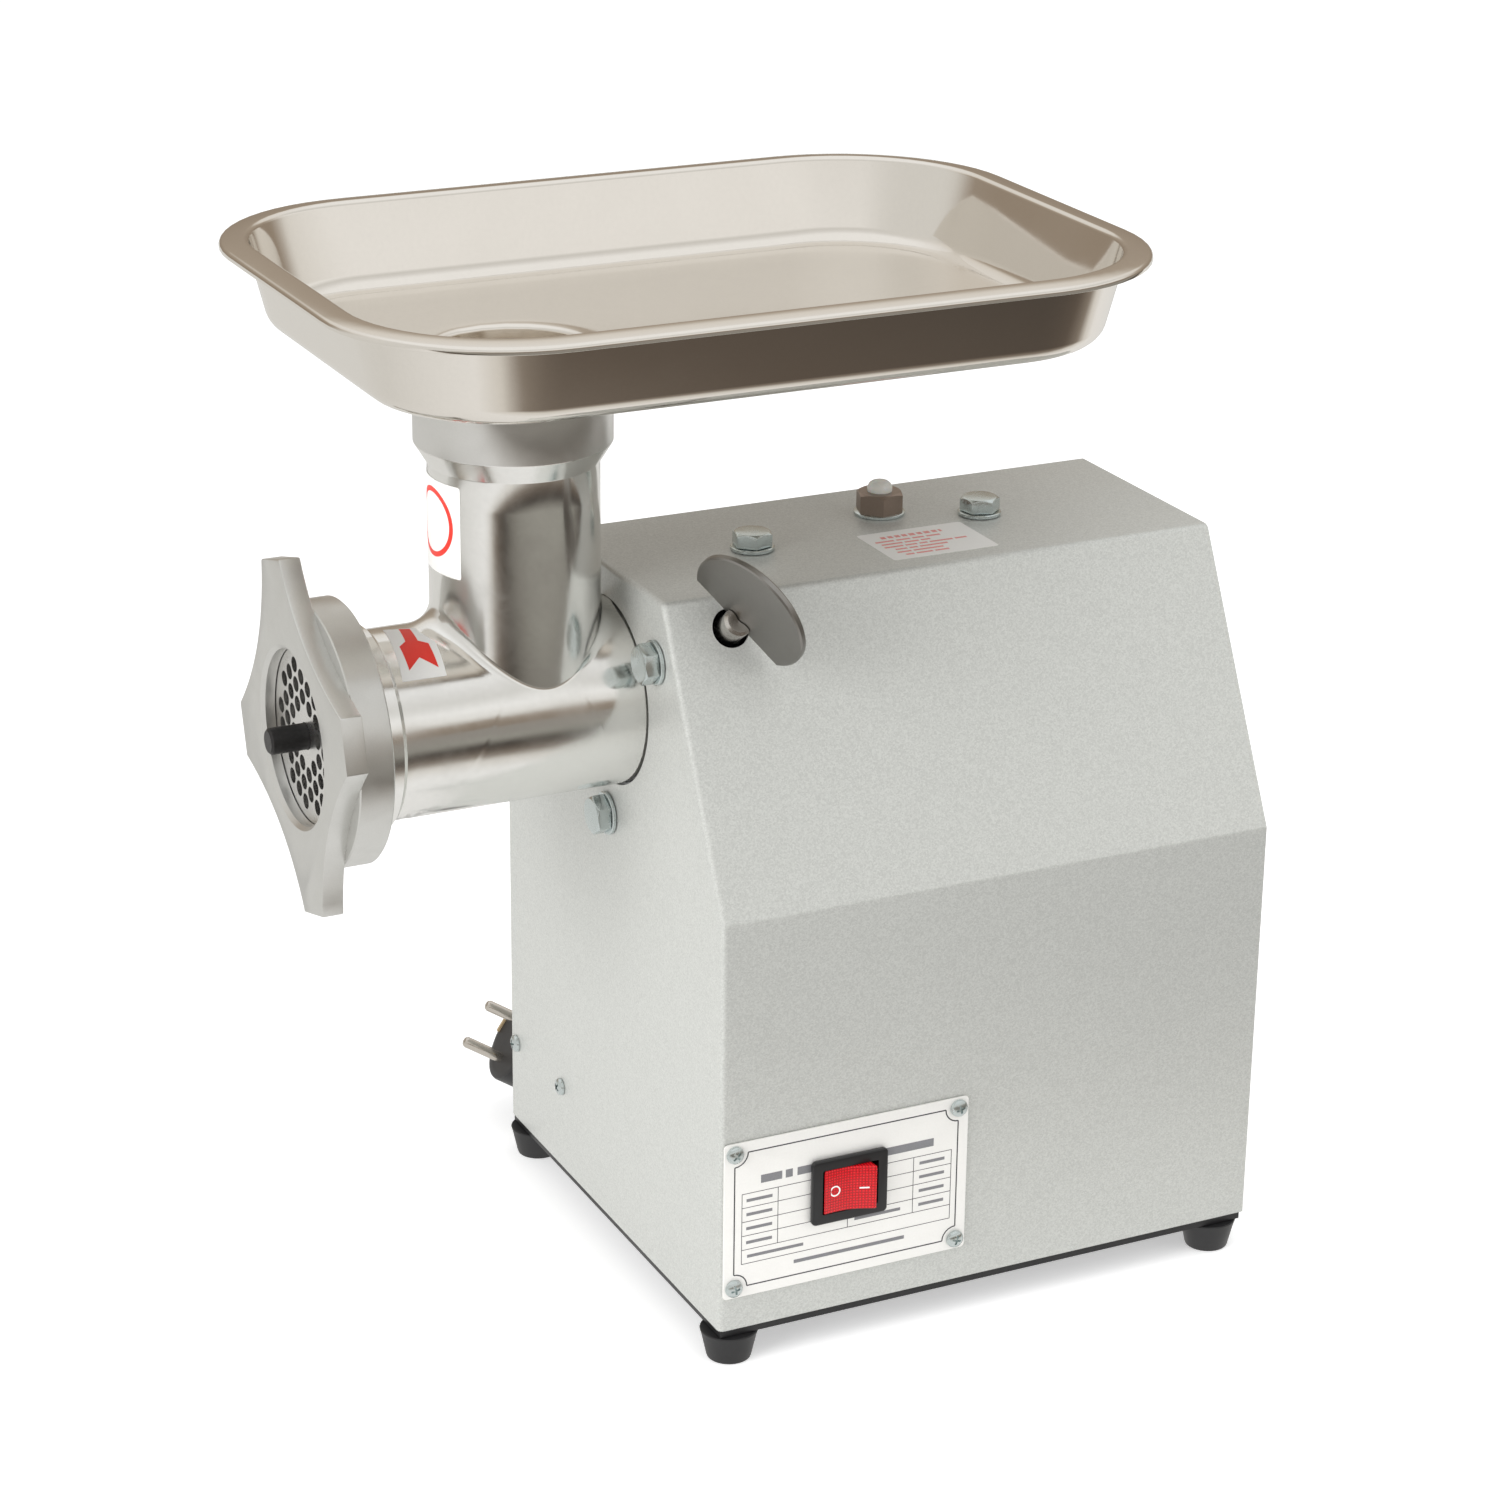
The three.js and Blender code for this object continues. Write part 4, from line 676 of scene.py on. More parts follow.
@dataclass(frozen=True)
class FleckedFinish(Finish):
    """Metallic paint with fine light and dark flecks.

    Attributes:
        fleck: Flecks in a millimetre.
        fleck_share: How far a fleck changes the colour.
    """

    fleck: float = 1.6
    fleck_share: float = 0.1

    def detail(
        self, tree: bpy.types.NodeTree, vector: bpy.types.NodeSocket, colour: bpy.types.NodeSocket,
        roughness: bpy.types.NodeSocket, normal: bpy.types.NodeSocket,
    ) -> tuple[bpy.types.NodeSocket, bpy.types.NodeSocket, bpy.types.NodeSocket]:
        """Mixes each fleck's own grey into the colour."""
        cells = tree.nodes.new("ShaderNodeTexVoronoi")
        cells.inputs["Scale"].default_value = self.fleck
        grey = tree.nodes.new("ShaderNodeSeparateColor")
        spread = tree.nodes.new("ShaderNodeMapRange")
        spread.inputs["To Min"].default_value = 1 - self.fleck_share
        spread.inputs["To Max"].default_value = 1 + self.fleck_share
        scaled = tree.nodes.new("ShaderNodeVectorMath")
        scaled.operation = "SCALE"
        link = tree.links.new
        link(vector, cells.inputs["Vector"])
        link(cells.outputs["Color"], grey.inputs["Color"])
        link(grey.outputs[0], spread.inputs["Value"])
        link(colour, scaled.inputs[0])
        link(spread.outputs["Result"], scaled.inputs["Scale"])
        return scaled.outputs["Vector"], roughness, normal


PAINT = FleckedFinish("grey_fleck_paint", (0.545, 0.555, 0.53), metallic=0.35, rough=(0.36, 0.44), tone=0.03,
                      grain=1.1, bump=0.012, smudge=120.0, coat=0.15, fleck=1.9, fleck_share=0.10)
BLACK_STEEL = Finish("black_base_steel", (0.012, 0.012, 0.013), rough=(0.32, 0.48), tone=0.2, bump=0.006)
RUBBER = Finish("black_rubber", (0.016, 0.016, 0.017), rough=(0.42, 0.6), tone=0.2, grain=2.2, bump=0.012)
CAST = Finish("polished_cast_aluminium", (0.86, 0.855, 0.835), metallic=1.0, rough=(0.11, 0.24), tone=0.05,
              grain=0.5,
              bump=0.006, smudge=22.0, brush=(0.5, 0.5, 6.0), brush_bump=0.0015)
COLLAR = Finish("turned_aluminium", (0.74, 0.735, 0.715), metallic=1.0, rough=(0.30, 0.40), tone=0.05,
                grain=1.4,
                bump=0.004, smudge=18.0, brush=(0.12, 0.12, 9.0), brush_bump=0.004)
NUT_METAL = Finish("satin_cast_aluminium", (0.72, 0.72, 0.70), metallic=1.0, rough=(0.30, 0.46), tone=0.06,
                   grain=1.6,
                   bump=0.010, smudge=16.0, brush=(5.0, 0.4, 0.4), brush_bump=0.002)
STAINLESS = Finish("pressed_stainless", (0.80, 0.765, 0.715), metallic=1.0, rough=(0.055, 0.12), tone=0.03,
                   grain=0.6,
                   bump=0.002, smudge=55.0, brush=(0.03, 2.2, 2.2), brush_bump=0.0012)
PLATE_STEEL = Finish("ground_plate_steel", (0.76, 0.755, 0.74), metallic=1.0, rough=(0.24, 0.34), tone=0.05,
                     grain=1.2, bump=0.003, smudge=14.0, brush=(1.0, 6.0, 0.3), brush_bump=0.002)
BLACKENED = Finish("blackened_stud_steel", (0.035, 0.034, 0.034), metallic=0.7, rough=(0.28, 0.5), tone=0.5,
                   grain=0.9,
                   bump=0.01, smudge=6.0)
ZINC = Finish("blue_zinc_plating", (0.62, 0.68, 0.68), metallic=1.0, rough=(0.18, 0.34), tone=0.07, grain=1.0,
              bump=0.004, smudge=7.0)
BRONZE = Finish("brown_vent_metal", (0.30, 0.235, 0.195), metallic=0.9, rough=(0.28, 0.42), tone=0.12,
                grain=1.0,
                bump=0.005, smudge=8.0)
MILKY = Finish("milky_cap", (0.66, 0.65, 0.60), rough=(0.25, 0.38), tone=0.03, subsurface=0.2)
DISC_STEEL = Finish("dark_disc_steel", (0.34, 0.33, 0.315), metallic=1.0, rough=(0.34, 0.44), tone=0.08,
                    grain=1.1,
                    bump=0.005, smudge=12.0, brush=(0.4, 0.4, 5.0), brush_bump=0.002)
ROD_STEEL = Finish("turned_rod_steel", (0.66, 0.64, 0.61), metallic=1.0, rough=(0.18, 0.32), tone=0.1,
                   grain=1.4,
                   bump=0.006, smudge=5.0)
STEEL = Finish("machined_steel", (0.52, 0.52, 0.51), metallic=1.0, rough=(0.25, 0.4), tone=0.08,
               brush=(4.0, 0.5, 0.5), brush_bump=0.002)
CASE = Finish(
    "sand_cast_case", (0.36, 0.37, 0.38), metallic=0.8, rough=(0.5, 0.65), tone=0.1, grain=0.9, bump=0.05,
)
WINDING = Finish("enamelled_winding", (0.34, 0.12, 0.045), metallic=0.6, rough=(0.3, 0.45), tone=0.25,
                 grain=0.5,
                 brush=(6.0, 0.2, 0.2), brush_bump=0.05)
BLACK_PLASTIC = Finish(
    "black_plastic", (0.011, 0.011, 0.012), rough=(0.28, 0.4), tone=0.15, grain=1.8, bump=0.008,
)
RED_ROCKER = DottedFinish("red_rocker", (0.74, 0.004, 0.012), rough=(0.2, 0.3), tone=0.05, coat=0.3,
                          specular=0.35,
                          pitch=1.15)
WHITE_INK = Finish("white_ink", (0.86, 0.86, 0.84), rough=(0.4, 0.5), tone=0.02)
BLACK_INK = Finish("black_ink", (0.035, 0.035, 0.04), rough=(0.4, 0.55), tone=0.2)
GREY_INK = Finish("grey_ink", (0.20, 0.20, 0.21), rough=(0.4, 0.55), tone=0.2)
NAMEPLATE = Finish("satin_nameplate", (0.83, 0.82, 0.79), metallic=0.2, rough=(0.34, 0.46), tone=0.05,
                   grain=1.2,
                   bump=0.006, smudge=12.0)
PAPER = Finish("white_sticker", (0.84, 0.835, 0.81), rough=(0.38, 0.48), tone=0.015)
RED_INK = Finish("red_sticker_ink", (0.78, 0.035, 0.02), rough=(0.38, 0.46), tone=0.03)
PALE_RED_INK = Finish("pale_red_ink", (0.74, 0.28, 0.25), rough=(0.4, 0.5), tone=0.05)
PLUG_BODY = Finish(
    "moulded_plug_rubber", (0.014, 0.014, 0.015), rough=(0.34, 0.5), tone=0.2, grain=1.6, bump=0.01,
)
BRASS = Finish("tan_contact", (0.52, 0.40, 0.24), metallic=0.6, rough=(0.3, 0.42), tone=0.08)
NICKEL = Finish("nickel_pin", (0.62, 0.58, 0.53), metallic=1.0, rough=(0.16, 0.28), tone=0.06)


# ------------------------------------------------------------------------------------------ frame


class Machine:
    """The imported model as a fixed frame, with the machine's own axes in millimetres."""

    def __init__(self) -> None:
        self.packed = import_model()
        self.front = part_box("housing_shell")[0].x
        self.count = 0

    def box(self, node: str) -> tuple[Vector, Vector]:
        """Returns the lowest and highest corner of a CAD node in the machine's axes."""
        low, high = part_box(node)
        offset = Vector((self.front, 0, 0))
        return (low - offset) / MM, (high - offset) / MM

    def middle(self, node: str) -> Vector:
        """Returns the middle of a CAD node in the machine's axes."""
        low, high = self.box(node)
        return (low + high) / 2

    def row(self, point: Sequence[float]) -> Vector:
        """Returns a point of the machine's axes in the row frame, in metres."""
        return Vector(point) * MM + Vector((self.front, 0, 0))

    def seat(
        self, piece: bpy.types.Object, finish: Finish, body: str, *nodes: str,
        slot: str | None = None, smooth: float = 35.0,
        part: tuple[Finish, Callable[[Vector], bool]] | None = None,
    ) -> bpy.types.Object:
        """Carries a finished piece into the frame and dresses it.

        Args:
            piece: A mesh in millimetres in the machine's axes.
            finish: Its finish.
            body: The CAD body it rides on.
            nodes: The CAD nodes it stands for.
            slot: The record's material slot, if it takes one; not used.
            smooth: Edges sharper than this angle in degrees stay sharp.
            part: A second finish, and the test of a face's middle in millimetres that gives it.

        Returns:
            The piece.
        """
        second = [part is not None and part[1](face.center) for face in piece.data.polygons]
        piece.data.transform(shift(self.front, 0, 0) @ Matrix.Scale(MM, 4))
        take(piece)
        bpy.ops.object.shade_smooth_by_angle(angle=math.radians(smooth))
        piece.data.materials.clear()
        piece.data.materials.append(finish.shader())
        if part:
            piece.data.materials.append(part[0].shader())
            piece.data.polygons.foreach_set("material_index", [int(there) for there in second])
        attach(piece, body)
        if nodes:
            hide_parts(*nodes)
        self.count += 1
        LOG.info("%s in %s on %s, %d faces", piece.name, finish.name, body, len(piece.data.polygons))
        return piece

    def dress(self, finish: Finish, nodes: Iterable[str]) -> None:
        """Gives CAD nodes that stay in view their finish."""
        for node in nodes:
            piece = self.packed["nodes"][node]
            piece.data.materials.clear()
            piece.data.materials.append(finish.shader())
            LOG.info("%s keeps its CAD shape in %s", node, finish.name)


# ------------------------------------------------------------------------------------------ studio


@dataclass
class Studio:
    """Camera, floor, lights and surroundings, in metres in the row frame."""

    eye: tuple[float, float, float] = (-0.6189, -1.2879, 0.7673)
    target: tuple[float, float, float] = (0.0168, 0.0133, 0.2040)
    roll: float = 0.678
    lens: float = 93.4
    floor_size: float = 12.0
    floor_glow: float = 0.42
    ambient: float = 0.66

    def build(self) -> None:
        """Places the camera first, then the floor, the soft lights and the surroundings."""
        self.camera()
        self.floor()
        self.light("key_panel", (-2.3, -0.65, 0.95), (0, 0, 0.2), 1.5, 40.0)
        self.light("top_panel", (0.3, -0.35, 2.1), (0, 0, 0.2), 1.6, 12.0)
        self.light("rear_panel", (1.7, -1.6, 0.8), (0, 0, 0.2), 1.2, 7.0)
        self.surroundings()

    def camera(self) -> None:
        """Adds the camera with the lens and the slight roll of the view."""
        back = (Vector(self.eye) - Vector(self.target)).normalized()
        level = Vector((0, 0, 1)).cross(back).normalized()
        rise = back.cross(level)
        turn = math.radians(self.roll)
        right = level * math.cos(turn) + rise * math.sin(turn)
        up = rise * math.cos(turn) - level * math.sin(turn)
        lens = bpy.data.cameras.new("view_camera")
        lens.lens = self.lens
        lens.sensor_width = 36.0
        lens.clip_start = 0.05
        camera = bpy.data.objects.new("view_camera", lens)
        placed = Matrix((right, up, back)).transposed().to_4x4()
        placed.translation = self.eye
        camera.matrix_world = placed
        bpy.context.collection.objects.link(camera)
        bpy.context.scene.camera = camera

    def floor(self) -> None:
        """Adds the pale floor, which glows evenly for the view and shows glossy rays a painted room of bright
        and dark bands.
        """
        clear()
        bpy.ops.mesh.primitive_plane_add(size=self.floor_size)
        floor = bpy.context.object
        floor.name = "studio_floor"
        pale = bpy.data.materials.new("studio_floor")
        pale.use_nodes = True
        tree = pale.node_tree
        nodes, link = tree.nodes, tree.links.new
        shader = nodes["Principled BSDF"]
        shader.inputs["Base Color"].default_value = (0.90, 0.90, 0.90, 1)
        shader.inputs["Roughness"].default_value = 0.85
        shader.inputs["Specular IOR Level"].default_value = 0.1
        shader.inputs["Emission Color"].default_value = (1, 1, 1, 1)
        shader.inputs["Emission Strength"].default_value = self.floor_glow
        # Painted reflection: glossy rays see the floor as a glowing room of bright and dark warm bands across
        # it, which the metal reflects.
        where, aside = nodes.new("ShaderNodeTexCoord"), nodes.new("ShaderNodeVectorMath")
        aside.operation = "DOT_PRODUCT"
        aside.inputs[1].default_value = (0.35, -0.94, 0.0)
        link(where.outputs["Object"], aside.inputs[0])
        room = self.ramp(tree, aside.outputs["Value"], -1.0, 1.5, (
            (-0.5, (0.74, 0.73, 0.70)), (0.16, (0.90, 0.89, 0.87)), (0.27, (0.74, 0.71, 0.66)),
            (0.34, (0.27, 0.23, 0.19)), (0.43, (0.125, 0.10, 0.08)), (0.58, (0.06, 0.052, 0.045)),
            (0.72, (0.20, 0.185, 0.16)), (0.90, (0.33, 0.32, 0.28)), (1.4, (0.30, 0.28, 0.25)),
        ))
        mirrored, path, mixed = nodes.new("ShaderNodeEmission"), nodes.new("ShaderNodeLightPath"), nodes.new(
            "ShaderNodeMixShader")
        link(room, mirrored.inputs["Color"])
        link(path.outputs["Is Glossy Ray"], mixed.inputs["Fac"])
        link(shader.outputs["BSDF"], mixed.inputs[1])
        link(mirrored.outputs["Emission"], mixed.inputs[2])
        link(mixed.outputs["Shader"], nodes["Material Output"].inputs["Surface"])
        floor.data.materials.append(pale)

    @staticmethod
    def ramp(
        tree: bpy.types.NodeTree, value: bpy.types.NodeSocket, low: float, high: float,
        stops: Sequence[tuple[float, tuple[float, float, float]]],
    ) -> bpy.types.NodeSocket:
        """Colours a value by stops.

        Args:
            tree: Node tree of the floor or the world.
            value: What is looked up.
            low: Value at the ramp's start.
            high: Value at its end.
            stops: Value and colour of each stop.

        Returns:
            The colour.
        """
        spread, colours = tree.nodes.new("ShaderNodeMapRange"), tree.nodes.new("ShaderNodeValToRGB")
        spread.inputs["From Min"].default_value = low
        spread.inputs["From Max"].default_value = high
        elements = colours.color_ramp.elements
        for i, (at, colour) in enumerate(stops):
            place = (at - low) / (high - low)
            element = elements[i] if i < 2 else elements.new(place)
            element.position, element.color = place, (*colour, 1)
        tree.links.new(value, spread.inputs["Value"])
        tree.links.new(spread.outputs["Result"], colours.inputs["Fac"])
        return colours.outputs["Color"]

    def light(
        self, name: str, place: tuple[float, float, float], aim: tuple[float, float, float],
        size: float, power: float,
    ) -> None:
        """Adds one soft panel.

        Args:
            name: Name of the light.
            place: Where it stands.
            aim: What it faces.
            size: Side of the square panel.
            power: Watts.
        """
        panel = bpy.data.lights.new(name, "AREA")
        panel.shape = "SQUARE"
        panel.size = size
        panel.energy = power
        lamp = bpy.data.objects.new(name, panel)
        lamp.visible_glossy = False
        lamp.location = place
        lamp.rotation_euler = (Vector(aim) - Vector(place)).to_track_quat("-Z", "Y").to_euler()
        bpy.context.collection.objects.link(lamp)

    def surroundings(self) -> None:
        """Makes a white studio for the view, with a darker room for what polished metal reflects."""
        world = bpy.data.worlds.new("studio")
        bpy.context.scene.world = world
        world.use_nodes = True
        tree = world.node_tree
        nodes, link = tree.nodes, tree.links.new
        nodes.clear()
        out = nodes.new("ShaderNodeOutputWorld")
        where = nodes.new("ShaderNodeTexCoord")
        split = nodes.new("ShaderNodeSeparateXYZ")
        link(where.outputs["Generated"], split.inputs[0])
        low_light = self.ramp(tree, split.outputs["Z"], -1.0, 1.0, (
            (-0.2, (0.26, 0.21, 0.165)), (0.0, (0.26, 0.21, 0.165)), (0.10, (0.32, 0.265, 0.21)),
            (0.18, (0.80, 0.78, 0.74)), (0.34, (0.95, 0.94, 0.92)), (0.52, (0.72, 0.71, 0.68)),
            (0.66, (0.80, 0.79, 0.77)), (0.85, (0.98, 0.98, 0.97)),
        ))
        far_light = self.ramp(tree, split.outputs["Z"], -1.0, 1.0, (
            (-0.2, (0.32, 0.26, 0.20)), (0.10, (0.33, 0.27, 0.21)), (0.34, (0.42, 0.355, 0.285)),
            (0.44, (0.78, 0.74, 0.68)), (0.60, (0.86, 0.84, 0.81)), (0.85, (0.98, 0.98, 0.97)),
        ))
        side, front = nodes.new("ShaderNodeMapRange"), nodes.new("ShaderNodeMapRange")
        for fade, socket, start, stop in ((side, "Y", -0.25, 0.35), (front, "X", -0.5, -0.92)):
            fade.interpolation_type = "SMOOTHSTEP"
            fade.inputs["From Min"].default_value = start
            fade.inputs["From Max"].default_value = stop
            link(split.outputs[socket], fade.inputs["Value"])
        around, room = nodes.new("ShaderNodeMix"), nodes.new("ShaderNodeMix")
        around.data_type = room.data_type = "RGBA"
        room.inputs["B"].default_value = (0.76, 0.75, 0.72, 1)
        link(side.outputs["Result"], around.inputs["Factor"])
        link(low_light, around.inputs["A"])
        link(far_light, around.inputs["B"])
        link(front.outputs["Result"], room.inputs["Factor"])
        link(around.outputs["Result"], room.inputs["A"])
        path = nodes.new("ShaderNodeLightPath")
        seen, mirrored = nodes.new("ShaderNodeBackground"), nodes.new("ShaderNodeBackground")
        even = nodes.new("ShaderNodeBackground")
        seen.inputs["Color"].default_value = (1, 1, 1, 1)
        seen.inputs["Strength"].default_value = 1.0
        even.inputs["Color"].default_value = (1, 1, 1, 1)
        even.inputs["Strength"].default_value = self.ambient
        mirrored.inputs["Strength"].default_value = 1.0
        link(room.outputs["Result"], mirrored.inputs["Color"])
        gloss, view = nodes.new("ShaderNodeMixShader"), nodes.new("ShaderNodeMixShader")
        link(path.outputs["Is Glossy Ray"], gloss.inputs["Fac"])
        link(even.outputs[0], gloss.inputs[1])
        link(mirrored.outputs[0], gloss.inputs[2])
        link(path.outputs["Is Camera Ray"], view.inputs["Fac"])
        link(gloss.outputs[0], view.inputs[1])
        link(seen.outputs[0], view.inputs[2])
        link(view.outputs[0], out.inputs["Surface"])
        bpy.context.scene.view_settings.view_transform = "Standard"


# ------------------------------------------------------------------------------------------ power cord


@dataclass
class MainsPlug:
    """Round moulded plug with two pins and two side contacts, on the cord's far end."""

    machine: Machine
    tail: tuple[float, float, float] = (50.0, 128.5, 11.0)
    bearing: float = 171.0
    lean: float = 32.0
    length: float = 44.0
    face: float = 18.5
    pin: float = 2.4
    pin_end: float = 63.0
    pin_side: float = 9.5
    contact_out: float = 17.1

    def place(self) -> Matrix:
        """Returns the move from the plug's own axes to the machine's."""
        return shift(*self.tail) @ spin(self.bearing, "Z") @ spin(-self.lean, "Y") @ shift(0.3, 0, 0)

    def moulding(self) -> bpy.types.Object:
        """Turns the body with a ribbed neck and cuts the two contact seats."""
        neck = [(4.4, 0.0), (5.0, 0.5)]
        for rib in range(4):
            start = 1.6 + 2.1 * rib
            neck += [(5.1 + 0.2 * rib, start), (4.5 + 0.2 * rib, start + 0.4), (4.5 + 0.2 * rib, start + 1.0),
                     (5.2 + 0.2 * rib, start + 1.4)]
        piece = turned("plug_body_moulded", neck + [
            (6.4, 10.8), (8.3, 13.7), (11.0, 17.0), (14.1, 20.6), (16.6, 24.4), (18.0, 28.2),
            (self.face, 31.4),
            (self.face, self.length - 1.2), (self.face - 0.4, self.length - 0.3),
            (self.face - 1.3, self.length),
            (self.face - 3.4, self.length),
        ], Axis.X, sides=96)
        for side in (-1, 1):
            low, high = sorted((side * (self.contact_out - 0.1), side * (self.face + 1)))
            carve(piece, block("seat", (26.8, low, -4.7), (self.length + 1, high, 4.7)))
        return piece

    def build(self) -> list[bpy.types.Object]:
        """Makes the body, pins and contacts.

        Returns:
            The plug's pieces.
        """
        seat = self.machine.seat
        pins, contacts = [], []
        for side in (-1, 1):
            pins.append(turned("pin", [
                (self.pin, self.length - 3), (self.pin, self.pin_end - 1.4),
                (self.pin - 0.5, self.pin_end - 0.4),
                (self.pin - 1.2, self.pin_end),
            ], Axis.X, (0, 0, side * self.pin_side), 32))
            low, high = sorted((side * (self.contact_out - 1.6), side * self.contact_out))
            contacts.append(block("contact", (28, low, -4), (self.length + 1, high, 4)))
            soften(contacts[-1], 0.4, 2, 30)
        made = [self.moulding(), joined("plug_pins", pins), joined("plug_contacts", contacts)]
        for piece in made:
            piece.data.transform(self.place())
        return [
            seat(made[0], PLUG_BODY, "housing", "mains_plug", slot="cord_rubber"),
            seat(made[1], NICKEL, "housing", slot="steel"),
            seat(made[2], BRASS, "housing", slot="steel"),
        ]


@dataclass
class PowerCord:
    """Mains lead that lies coiled behind the machine, in millimetres."""

    machine: Machine
    radius: float = 3.6
    length: float = 1.24
    coil_centre: tuple[float, float] = (112.0, 162.0)
    outer_turn: float = 43.6
    inner_turn: float = 36.4
    low: float = 3.9
    high: float = 11.1
    lead: tuple[tuple[float, float, float], ...] = (
        (275.3, 60, 46), (285.3, 60, 45.4), (297.3, 61, 40), (308.3, 63, 29), (317.3, 68, 17),
        (325.3, 76, 8.5),
        (330.3, 88, 4.6), (331.3, 104, 4), (325.3, 126, 4), (311.3, 150, 4), (292, 172, 4), (270, 192, 4),
        (244, 207, 4), (218, 215, 4), (193, 213, 4), (172, 202, 4), (161, 190, 4),
    )
    tail: tuple[tuple[float, float, float], ...] = (
        (86, 118.4, 7.6), (77.4, 119.7, 5.1), (68, 123, 4.3), (60.4, 125.8, 5.6), (54.2, 127.8, 8.4),
        (49.4, 128.6, 10.6),
    )

    def coil(self) -> list[tuple[float, float, float]]:
        """Returns the winding: round the outside, in, round the inside, up, and back out on top."""
        stations = [
            (0, self.outer_turn, self.low), (-275, self.outer_turn, self.low),
            (-360, self.inner_turn, self.low),
            (-610, self.inner_turn, self.low), (-690, self.inner_turn, self.high),
            (-930, self.inner_turn, self.high),
            (-1015, self.outer_turn, self.high), (-1170, self.outer_turn, self.high),
        ]
        points = []
        for step in range(0, 1171, 15):
            angle = -float(step)
            for (a, r0, z0), (b, r1, z1) in zip(stations, stations[1:]):
                if b <= angle <= a:
                    share = (a - angle) / (a - b)
                    share = share * share * (3 - 2 * share)
                    radius, height = r0 + (r1 - r0) * share, z0 + (z1 - z0) * share
                    break
            turn = math.radians(angle)
            points.append((
                self.coil_centre[0] + radius * math.cos(turn),
                self.coil_centre[1] + radius * math.sin(turn), height,
            ))
        return points

    def build(self, plug: Sequence[bpy.types.Object]) -> None:
        """Args:
            plug: The pieces of the plug on its far end; not used.
        """
        route = [self.machine.row(point) for point in (*self.lead, *self.coil(), *self.tail)]
        shape = bpy.data.curves.new("power_cord", "CURVE")
        shape.dimensions = "3D"
        shape.bevel_depth = self.radius * MM
        shape.bevel_resolution = 5
        shape.resolution_u = 8
        shape.use_fill_caps = True
        run = shape.splines.new("BEZIER")
        run.bezier_points.add(len(route) - 1)
        for bead, place in zip(run.bezier_points, route):
            bead.co = place
            bead.handle_left_type = bead.handle_right_type = "AUTO"
        cord = bpy.data.objects.new("power_cord", shape)
        bpy.context.collection.objects.link(cord)
        shape.materials.append(RUBBER.shader())
        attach(cord, "housing")
        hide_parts("cord_lead", "cord_coil", "cord_tail")
        LOG.info("power_cord, %d points", len(route))


# ------------------------------------------------------------------------------------------ housing


